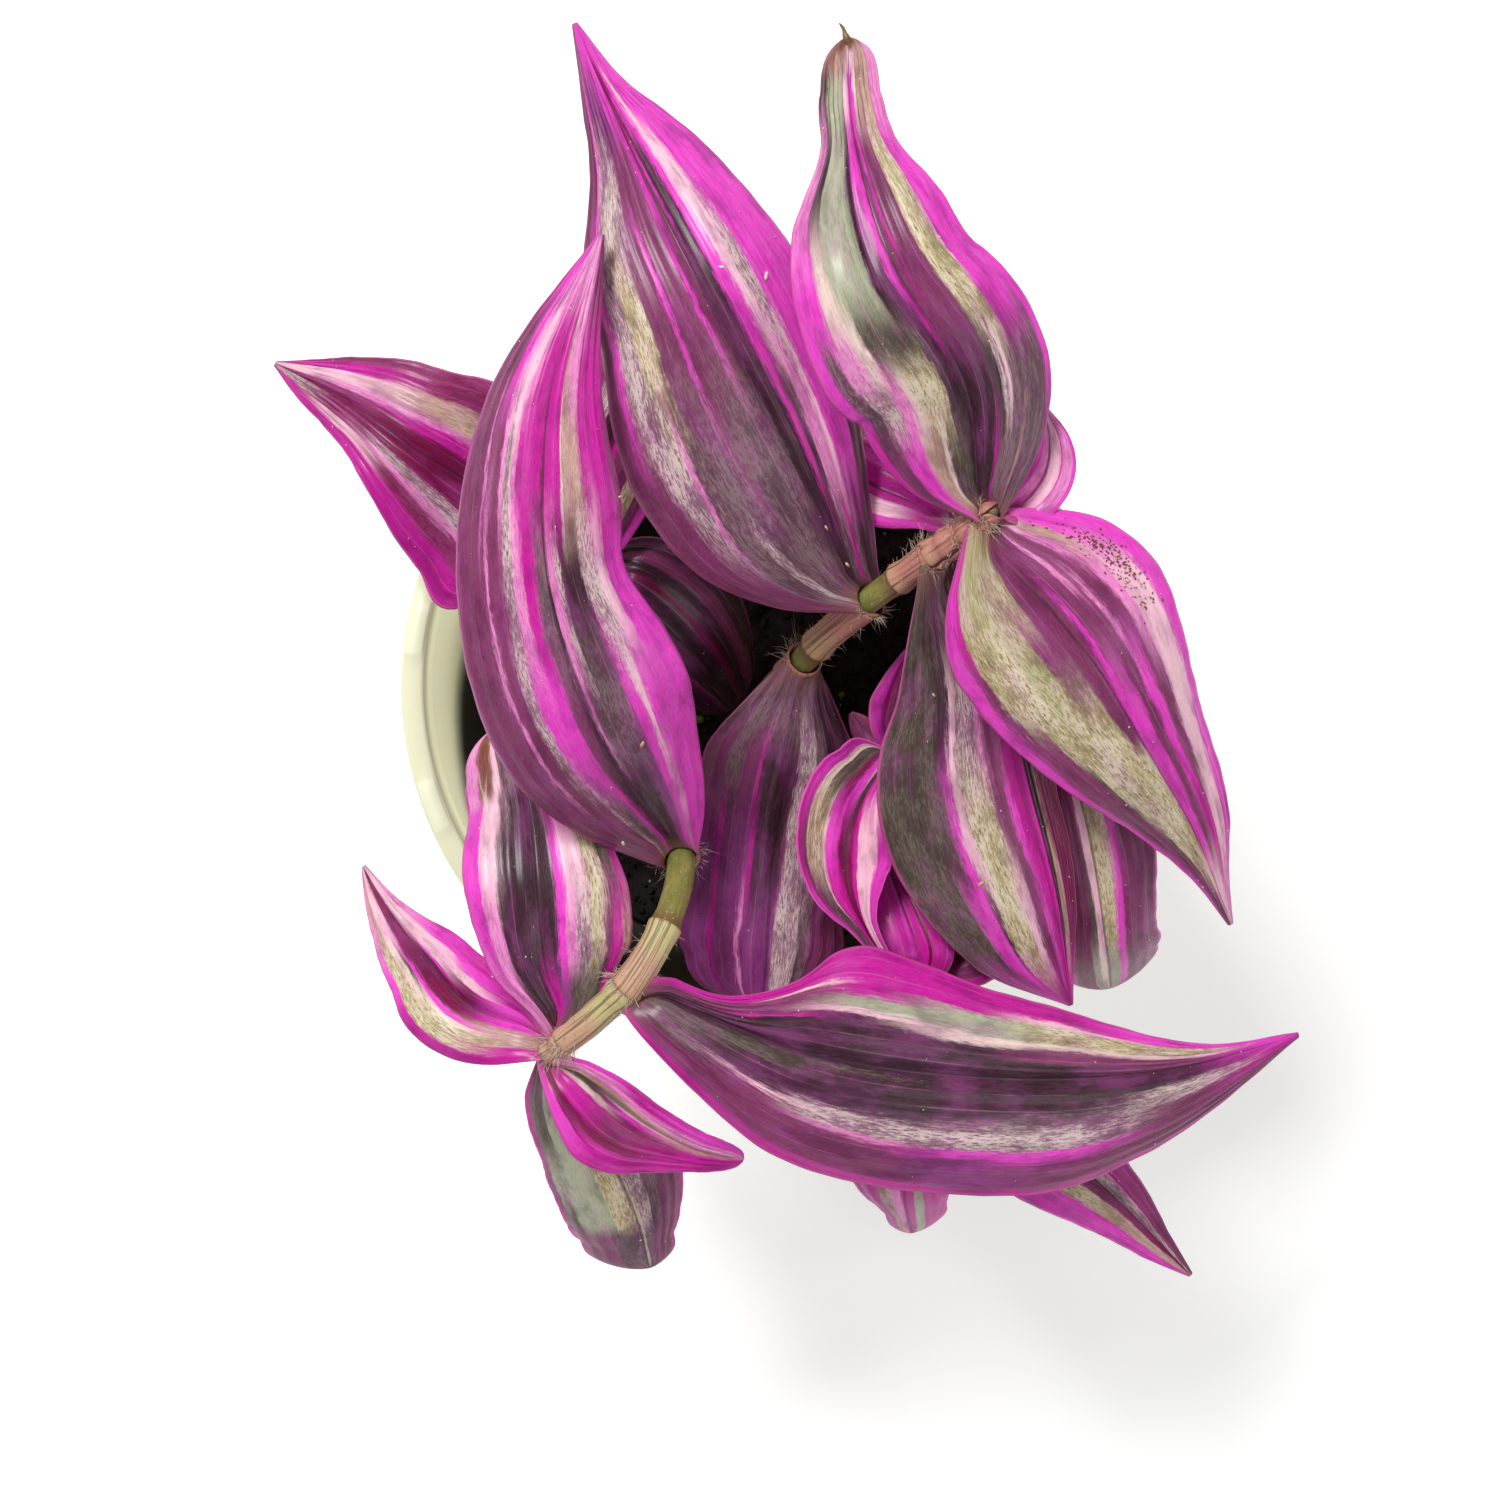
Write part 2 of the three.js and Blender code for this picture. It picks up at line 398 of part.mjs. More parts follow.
function bladeNormal(leaf, u, v) {
  const step = NORMAL_STEP;
  const across = bladePoint(leaf, u, Math.min(v + step, 1)).sub(bladePoint(leaf, u, Math.max(v - step, -1)));
  const along = bladePoint(leaf, Math.min(u + step, 1), v).sub(bladePoint(leaf, Math.max(u - step, 0), v));
  return along.cross(across).normalize();
}

// The blade as a closed sheet: both faces are split into the same triangles.
function bladeGeometry(leaf) {
  const [rows, columns] = leaf.cells;
  const vertices = [];
  const triangles = [];
  [1, -1].forEach((face) => {
    for (let i = 0; i <= rows; i += 1) {
      for (let j = 0; j <= columns; j += 1) {
        const u = 1 - (1 - i / rows) ** (1 + TIP_CROWD * (leaf.blunt ?? 0));
        const v = (2 * j) / columns - 1;
        const p = bladePoint(leaf, u, v).addScaledVector(bladeNormal(leaf, u, v), (face * BLADE_THICK) / 2);
        vertices.push(p.x, p.y, p.z);
      }
    }
  });
  const stride = columns + 1;
  const under = (rows + 1) * stride;
  for (let i = 0; i < rows; i += 1) {
    for (let j = 0; j < columns; j += 1) {
      const a = i * stride + j;
      const [b, c, d] = [a + stride, a + stride + 1, a + 1];
      triangles.push(a, b, c, a, c, d);
      triangles.push(a + under, c + under, b + under, a + under, d + under, c + under);
    }
  }
  const margin = [];
  for (let j = 0; j < columns; j += 1) margin.push(j);
  for (let i = 0; i < rows; i += 1) margin.push(i * stride + columns);
  for (let j = columns; j > 0; j -= 1) margin.push(rows * stride + j);
  for (let i = rows; i > 0; i -= 1) margin.push(i * stride);
  margin.forEach((a, k) => {
    const b = margin[(k + 1) % margin.length];
    triangles.push(a, b, b + under, a, b + under, a + under);
  });
  return geometryFrom(vertices, triangles);
}

function leafGeometry(leaf, stem) {
  const whole = toSolid(bladeGeometry(readyLeaf(leaf, stem))).add(sheathSolid(leaf, stem, 0));
  return fromSolid(largestBody(whole.subtract(roomFor(leaf, stem))));
}

// ---------------------------------------------------------------- pot
const wallRadius = (z) => mix(FOOT_RADIUS, RIM_RADIUS - LIP_WIDTH + WALL, z / POT_HEIGHT);

function potProfile() {
  const collarFoot = POT_HEIGHT - COLLAR_HEIGHT;
  const underLip = POT_HEIGHT - LIP_THICK;
  const ringInside = FOOT_RADIUS - FOOT_RING;
  const lipInside = RIM_RADIUS - LIP_WIDTH;
  const throatFoot = POT_HEIGHT - THROAT_DEPTH;
  const floorTop = FOOT_LIFT + FLOOR_THICK;
  const inner = (z) => wallRadius(z) - WALL;
  return [
    [0, 0],
    [FOOT_DISC, 0],
    [FOOT_DISC + FOOT_BEVEL, FOOT_LIFT],
    [ringInside, FOOT_LIFT],
    [ringInside + FOOT_BEVEL, 0],
    [FOOT_RADIUS - FOOT_BEVEL, 0],
    [wallRadius(FOOT_BEVEL), FOOT_BEVEL],
    [wallRadius(collarFoot), collarFoot],
    [wallRadius(collarFoot) + COLLAR_STEP, collarFoot + COLLAR_SLOPE],
    [wallRadius(underLip) + COLLAR_STEP, underLip],
    [RIM_RADIUS - LIP_BEVEL, underLip],
    [RIM_RADIUS, underLip + LIP_BEVEL],
    [RIM_RADIUS, POT_HEIGHT - LIP_BEVEL],
    [RIM_RADIUS - LIP_BEVEL, POT_HEIGHT],
    [lipInside + LIP_BEVEL, POT_HEIGHT],
    [lipInside, POT_HEIGHT - LIP_BEVEL],
    [inner(throatFoot) + THROAT_STEP, throatFoot],
    [inner(throatFoot - LIP_BEVEL), throatFoot - LIP_BEVEL],
    [inner(floorTop), floorTop],
    [0, floorTop],
  ].map(([x, z]) => new THREE.Vector2(x, z));
}

function potGeometry() {
  const body = toSolid(new THREE.LatheGeometry(potProfile(), POT_SIDES).rotateX(Math.PI / 2));
  const drains = Array.from({ length: DRAIN_COUNT }, (_, k) => {
    const angle = (2 * Math.PI * (k + 0.5)) / DRAIN_COUNT;
    const depth = 4 * (FOOT_LIFT + FLOOR_THICK);
    const drill = new THREE.CylinderGeometry(DRAIN_RADIUS, DRAIN_RADIUS, depth, DRAIN_SIDES);
    drill.rotateX(Math.PI / 2).translate(DRAIN_CIRCLE * Math.cos(angle), DRAIN_CIRCLE * Math.sin(angle), 0);
    return toSolid(drill);
  });
  const pads = Array.from({ length: PAD_COUNT }, (_, k) => {
    const middle = (2 * Math.PI * k) / PAD_COUNT + radians(PAD_START);
    return padSolid(middle, radians(PAD_ANGLE));
  });
  return fromSolid(largestBody(wasm.Manifold.union([body, ...pads]).subtract(wasm.Manifold.union(drains))));
}

// A raised pad: a short arc of the lip, rooted in it and a little higher than it.
function padSolid(middle, angle) {
  const shape = new THREE.Shape();
  const [outer, inner] = [RIM_RADIUS - PAD_INSET, RIM_RADIUS - LIP_WIDTH + PAD_INSET];
  shape.absarc(0, 0, outer, middle - angle / 2, middle + angle / 2, false);
  shape.absarc(0, 0, inner, middle + angle / 2, middle - angle / 2, true);
  const pad = new THREE.ExtrudeGeometry(shape, {
    depth: PAD_HEIGHT + LIP_BEVEL, bevelEnabled: false, curveSegments: 2,
  });
  return toSolid(pad.translate(0, 0, POT_HEIGHT - LIP_BEVEL));
}

// ---------------------------------------------------------------- soil
// Height of the soil's surface: a low crown with wide lumps and slanting ones, flat by the wall.
function soilHeight(x, y) {
  const out = Math.hypot(x, y) / RIM_RADIUS;
  const wide = Math.sin(SOIL_WAVE[0] * x + SOIL_SHIFT) * Math.cos(SOIL_WAVE[1] * y);
  const slanting = Math.sin(SOIL_SKEW[0] * x + SOIL_SKEW[1] * y);
  const lumps = wide + SKEW_PART * slanting;
  return SOIL_TOP + SOIL_CROWN * (1 - out * out) + SOIL_LUMP * lumps * (1 - out ** 4);
}

function soilGeometry(stems) {
  const floor = FOOT_LIFT + FLOOR_THICK + GAP;
  const room = (z) => wallRadius(z) - WALL - 2 * GAP;
  const rings = [];
  for (let i = 1; i <= SOIL_RINGS; i += 1) rings.push((i / SOIL_RINGS) * room(SOIL_TOP));
  const vertices = [0, 0, soilHeight(0, 0)];
  const triangles = [];
  const spoke = (k) => (2 * Math.PI * k) / SOIL_SPOKES;
  rings.forEach((r) => {
    for (let k = 0; k < SOIL_SPOKES; k += 1) {
      const [x, y] = [r * Math.cos(spoke(k)), r * Math.sin(spoke(k))];
      vertices.push(x, y, soilHeight(x, y));
    }
  });
  for (let k = 0; k < SOIL_SPOKES; k += 1) {
    vertices.push(room(floor) * Math.cos(spoke(k)), room(floor) * Math.sin(spoke(k)), floor);
  }
  const hub = vertices.length / 3;
  vertices.push(0, 0, floor);
  for (let k = 0; k < SOIL_SPOKES; k += 1) {
    const next = (k + 1) % SOIL_SPOKES;
    triangles.push(0, 1 + k, 1 + next);
    for (let i = 0; i < SOIL_RINGS; i += 1) {
      const a = 1 + i * SOIL_SPOKES;
      const b = a + SOIL_SPOKES;
      triangles.push(a + k, b + k, b + next, a + k, b + next, a + next);
    }
    const last = 1 + SOIL_RINGS * SOIL_SPOKES;
    triangles.push(last + k, hub, last + next);
  }
  const heap = toSolid(geometryFrom(vertices, triangles));
  return fromSolid(largestBody(heap.subtract(wasm.Manifold.union(Object.values(stems).map(stemRoom)))));
}

// ---------------------------------------------------------------- the potted plant
const finishes = {
  pot: new THREE.MeshStandardMaterial({ color: COLOURS.pot, roughness: 0.45, metalness: 0 }),
  soil: new THREE.MeshStandardMaterial({ color: COLOURS.soil, roughness: 1, metalness: 0 }),
  stem: new THREE.MeshStandardMaterial({ color: COLOURS.stem, roughness: 0.55, metalness: 0 }),
};

function leafFinish(colour) {
  return new THREE.MeshStandardMaterial({
    color: COLOURS[colour], roughness: 0.42, metalness: 0.05, side: THREE.DoubleSide,
  });
}

function piece(name, geometry, material) {
  const mesh = new THREE.Mesh(geometry, material);
  mesh.name = name;
  return mesh;
}

const stems = Object.fromEntries(Object.keys(STEMS).map((key) => [key, readyStem(key)]));
const plant = new THREE.Group();
plant.add(piece('pot', potGeometry(), finishes.pot));
plant.add(piece('soil', soilGeometry(stems), finishes.soil));
Object.entries(stems).forEach(([key, stem]) => {
  plant.add(piece(`stem_${key}`, loft(stemRings(stem, 0)), finishes.stem));
});
LEAVES.forEach((leaf) => {
  plant.add(piece(leaf.name, leafGeometry(leaf, stems[leaf.stem]), leafFinish(leaf.colour)));
});

export default plant;
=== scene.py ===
"""Looks of a potted tradescantia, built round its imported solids.

Lengths in the tables are millimetres, with +Z up and the origin in the middle of the
pot's foot, and become metres when a mesh is made. Each stem, leaf and vessel repeats the
form that its solid has, with finer rows, real sheaths, hairs, veins and stripes.
"""

import json
import logging
from dataclasses import dataclass
from enum import Enum
from typing import Any, Sequence

import bmesh
import bpy
import numpy as np
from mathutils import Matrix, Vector

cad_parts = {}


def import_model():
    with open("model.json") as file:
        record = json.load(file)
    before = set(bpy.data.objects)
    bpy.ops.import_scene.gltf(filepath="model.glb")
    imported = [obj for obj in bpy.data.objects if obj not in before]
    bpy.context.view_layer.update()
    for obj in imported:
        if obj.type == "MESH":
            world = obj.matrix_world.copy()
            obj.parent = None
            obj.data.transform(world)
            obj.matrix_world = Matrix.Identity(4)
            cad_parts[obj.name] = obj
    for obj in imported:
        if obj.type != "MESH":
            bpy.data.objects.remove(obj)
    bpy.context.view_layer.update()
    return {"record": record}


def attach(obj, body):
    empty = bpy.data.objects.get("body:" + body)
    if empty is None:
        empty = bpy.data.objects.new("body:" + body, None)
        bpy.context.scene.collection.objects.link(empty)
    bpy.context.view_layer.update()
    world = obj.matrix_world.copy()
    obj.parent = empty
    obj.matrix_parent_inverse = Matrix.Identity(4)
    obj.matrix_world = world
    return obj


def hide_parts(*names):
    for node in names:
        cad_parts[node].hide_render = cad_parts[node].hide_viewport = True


LOG = logging.getLogger("tradescantia")
Array = np.ndarray
Points = Sequence[Sequence[float]] | Array
Material = bpy.types.Material
Object = bpy.types.Object
Number = "Value | float"
Pair = tuple[float, float]
Triple = tuple[float, float, float]
MM = 0.001
BODY = "root"
SEED = 20


# ---- shape maths
def unit(vectors: Array) -> Array:
    """Vectors scaled to length one along the last axis."""
    return vectors / np.linalg.norm(vectors, axis=-1, keepdims=True)


def ease(low: float, high: float, x: Array) -> Array:
    """Smooth step: 0 up to low, 1 from high on, and 3t squared less 2t cubed between."""
    t = np.clip((x - low) / (high - low), 0, 1)
    return t * t * (3 - 2 * t)


def smooth_curve(points: Points, t: Array) -> Array:
    """Points on a uniform Catmull-Rom curve.

    The curve goes through every given point, and each end is carried on straight. Between
    points b and c, with a before and d after, it is half of
    2b + (c - a)f + (2a - 5b + 4c - d)f squared + (3b - a - 3c + d)f cubed.

    Args:
        points: the points that the curve goes through.
        t: places along it, from 0 to 1, of any shape.

    Returns:
        The points, with the shape of t and one more axis.
    """
    knots = np.asarray(points, float)
    knots = np.vstack([2 * knots[0] - knots[1], knots, 2 * knots[-1] - knots[-2]])
    spans = len(knots) - 3
    place = np.asarray(t, float) * spans
    first = np.clip(np.floor(place).astype(int), 0, spans - 1)
    f = (place - first)[..., None]
    a, b, c, d = (knots[first + k] for k in range(4))
    squares = (2 * a - 5 * b + 4 * c - d) * f**2
    cubes = (3 * b - a - 3 * c + d) * f**3
    return 0.5 * (2 * b + (c - a) * f + squares + cubes)


def heading(points: Points, t: Array) -> Array:
    """Unit tangents of that curve, from a short step to either side."""
    step = 1e-4
    ahead = smooth_curve(points, np.minimum(t + step, 1))
    return unit(ahead - smooth_curve(points, np.maximum(t - step, 0)))


def curve_length(points: Points) -> float:
    """Length of that curve, summed over short chords."""
    chords = np.diff(smooth_curve(points, np.linspace(0, 1, 401)), axis=0)
    return float(np.linalg.norm(chords, axis=1).sum())


def stacked(*parts: Array | float) -> Array:
    """Parts of vectors, spread to one shape and put side by side along a new last axis."""
    return np.stack(np.broadcast_arrays(*parts), -1)


def rings(out: Array, beside: Array, angle: Array) -> Array:
    """Directions round a path: out cos a + beside sin a."""
    return out * np.cos(angle)[..., None] + beside * np.sin(angle)[..., None]


def copies(faces: Array, count: int, points: int) -> Array:
    """Faces of a small form, again for each of count copies with that number of points."""
    return (faces[None] + np.arange(count)[:, None, None] * points).reshape(-1, faces.shape[1])


def grid_normals(points: Array) -> Array:
    """Unit normals of a grid of points: along the rows crossed with across them."""
    return unit(np.cross(np.gradient(points, axis=0), np.gradient(points, axis=1)))


def crossed_waves(x: Array, y: Array, length: float, seed: int, count: int = 9) -> Array:
    """A rough surface: the mean of sines of about one wave length in random directions.

    Args:
        x: first place.
        y: second place.
        length: the wave length.
        seed: number that sets the pattern.
        count: number of waves.

    Returns:
        Heights from -1 to 1.
    """
    rng = np.random.default_rng(seed)
    angle = rng.uniform(0, 2 * np.pi, count)
    waves = 2 * np.pi / (length * rng.uniform(0.6, 1.6, count))
    shift = rng.uniform(0, 2 * np.pi, count)
    across = x[..., None] * np.cos(angle) + y[..., None] * np.sin(angle)
    return np.sin(across * waves + shift).mean(-1)


def grid_faces(rows: int, columns: int, start: int = 0, closed: bool = False) -> Array:
    """Quads of a grid of points, row by row, facing rows crossed with columns.

    Args:
        rows: number of points along.
        columns: number of points across.
        start: number of the first point.
        closed: whether the last column joins the first.

    Returns:
        Four point numbers a face.
    """
    i = np.arange(rows - 1)[:, None]
    j = np.arange(columns if closed else columns - 1)[None, :]
    k = (j + 1) % columns
    corners = [i * columns + j, (i + 1) * columns + j, (i + 1) * columns + k, i * columns + k]
    return np.stack(corners, -1).reshape(-1, 4) + start


# ---- colours and stripes
def seen(red: float, green: float, blue: float) -> Triple:
    """A colour as it looks, 0 to 255 a channel, as the light that a shader works in."""
    part = np.array([red, green, blue]) / 255
    light = np.where(part <= 0.04045, part / 12.92, ((part + 0.055) / 1.055) ** 2.4)
    return tuple(float(x) for x in light)


class Tone(Enum):
    """A colour of the foliage: red, green and blue as they look, and how much it glitters in pale flecks,
    which are partly painted glints.
    """

    PLUM = (126, 46, 94, 0.04)
    DARK = (58, 23, 41, 0.03)
    SLATE = (104, 67, 84, 0.18)
    VIOLET = (134, 48, 120, 0.04)
    CLARET = (136, 26, 88, 0.06)
    WINE = (120, 2, 68, 0.0)
    ROSE = (212, 100, 156, 0.1)
    MAGENTA = (198, 8, 152, 0.03)
    HOT = (232, 56, 196, 0.06)
    PINK = (234, 124, 198, 0.3)
    BLUSH = (248, 194, 212, 0.2)
    CREAM = (242, 214, 202, 0.3)
    SILVER = (160, 122, 136, 0.85)
    SAGE = (166, 170, 142, 0.2)
    GOLD = (184, 168, 120, 0.85)
    MOSS = (162, 158, 98, 0.5)
    OLIVE = (80, 67, 58, 0.12)
    TAN = (186, 144, 130, 0.3)
    BROWN = (134, 76, 46, 0.1)


@dataclass(frozen=True)
class Cut:
    """The stripes across a blade at one place along it.

    Attributes:
        u: place along the blade, 0 at its base and 1 at its tip.
        words: from the left margin, at 1, to the right one, at -1, the place where each
            stripe starts and the name of its tone.
    """

    u: float
    words: list[str]

    def stops(self) -> list[tuple[float, tuple[float, float, float, float]]]:
        """Ramp stops of the stripes: two near each edge, so that it is only a little soft.

        Returns:
            Places with their colours.
        """
        starts = [(1 - float(word)) / 2 for word in self.words[::2]]
        tones = [Tone[word.upper()].value for word in self.words[1::2]]
        looks = [(*seen(*tone[:3]), tone[3]) for tone in tones]
        edges = [*starts, 1.0]
        stops = [(0.0, looks[0])]
        for k in range(1, len(looks)):
            soft = min(0.009, 0.3 * (edges[k] - edges[k - 1]), 0.3 * (edges[k + 1] - edges[k]))
            stops += [(edges[k] - soft, looks[k - 1]), (edges[k] + soft, looks[k])]
        return stops


@dataclass(frozen=True)
class Swell:
    """A soft bulge or dent of a blade: where, how far it spreads along and across, how high."""

    u: float
    v: float
    along: float
    across: float
    height: float


# ---- stems and leaves
@dataclass(frozen=True)
class StemPlan:
    """A stem: its path from the soil to the growing tip, and its radius at both ends."""

    path: tuple[Triple, ...]
    radius: Pair


@dataclass(frozen=True)
class LeafPlan:
    """A leaf, as its solid has it, with its stripes.

    Attributes:
        name: the solid that it stands for.
        stem: key of the stem that it clasps.
        at: where its sheath starts and where the mouth is, as parts of the stem.
        rib: the midrib after the mouth, in four even steps to the tip.
        left: half widths on the left, facing the tip, at each eighth of the length.
        right: the same on the right.
        fold: how steeply the left and right halves rise from the midrib, degrees.
        bend: how far they turn down by their margins, degrees.
        wave: height, number and start of the ripples.
        stripes: for each of some places from the base to the tip, the place with a colon and
            the stripes across the blade there, as a Cut has them.
        roll: turn about the midrib at the base and at the tip, degrees.
        swells: bulges and dents.
        blunt: how round the tip is, from 0 for a drawn out point to 1 for half an ellipse.
    """

    name: str
    stem: str
    at: Pair
    rib: tuple[Triple, ...]
    left: tuple[float, ...]
    right: tuple[float, ...]
    fold: Pair
    bend: Pair
    wave: Triple
    stripes: str
    roll: Pair = (0, 0)
    swells: tuple[Swell, ...] = ()
    blunt: float = 0

    def cuts(self) -> list[Cut]:
        """The stripes at each place, read from their text.

        Returns:
            One cut for each place that the text names.
        """
        cuts: list[Cut] = []
        for word in self.stripes.split():
            if word.endswith(":"):
                cuts.append(Cut(float(word[:-1]), []))
            else:
                cuts[-1].words.append(word)
        return cuts


STEMS: dict[str, StemPlan] = {
    "a": StemPlan(
        ((0.5, -4, 48), (1, -2.5, 66), (3, 0, 84), (6, 2.5, 99), (10.5, 7, 109.5),
         (16.5, 11.8, 117.5), (22, 15.6, 124), (27, 19, 129.5), (31.5, 22.3, 133.5)),
        (2.3, 1.6)),
    "b": StemPlan(
        ((-13, -12, 48), (-13.2, -14, 68), (-12.8, -18, 88), (-11.3, -22, 101), (-10.6, -27, 108.5),
         (-12.6, -34, 114), (-17, -41.5, 115.5), (-22.5, -47, 112.5), (-29.5, -52.5, 109)),
        (2.4, 1.7)),
    "c": StemPlan(
        ((-17, 4, 48), (-18.5, 7, 64), (-21, 11, 79), (-25, 16, 91), (-31, 21, 99.5)), (2.0, 1.5)),
    "d": StemPlan(((22.5, -14, 48), (22.4, -13.5, 62), (22.2, -12.8, 76), (22, -12, 92)), (1.9, 1.3)),
    "e": StemPlan(
        ((19.5, -20, 48), (20, -22.5, 63), (20.5, -27.5, 77), (21.6, -36, 90), (24.2, -47.5, 98.8)),
        (2.0, 1.5)),
    "f": StemPlan(
        ((35, 3, 48), (35.6, 2.6, 62), (37, 1.5, 76), (39.5, 0, 90), (42.5, -2, 100)), (2.0, 1.4)),
}

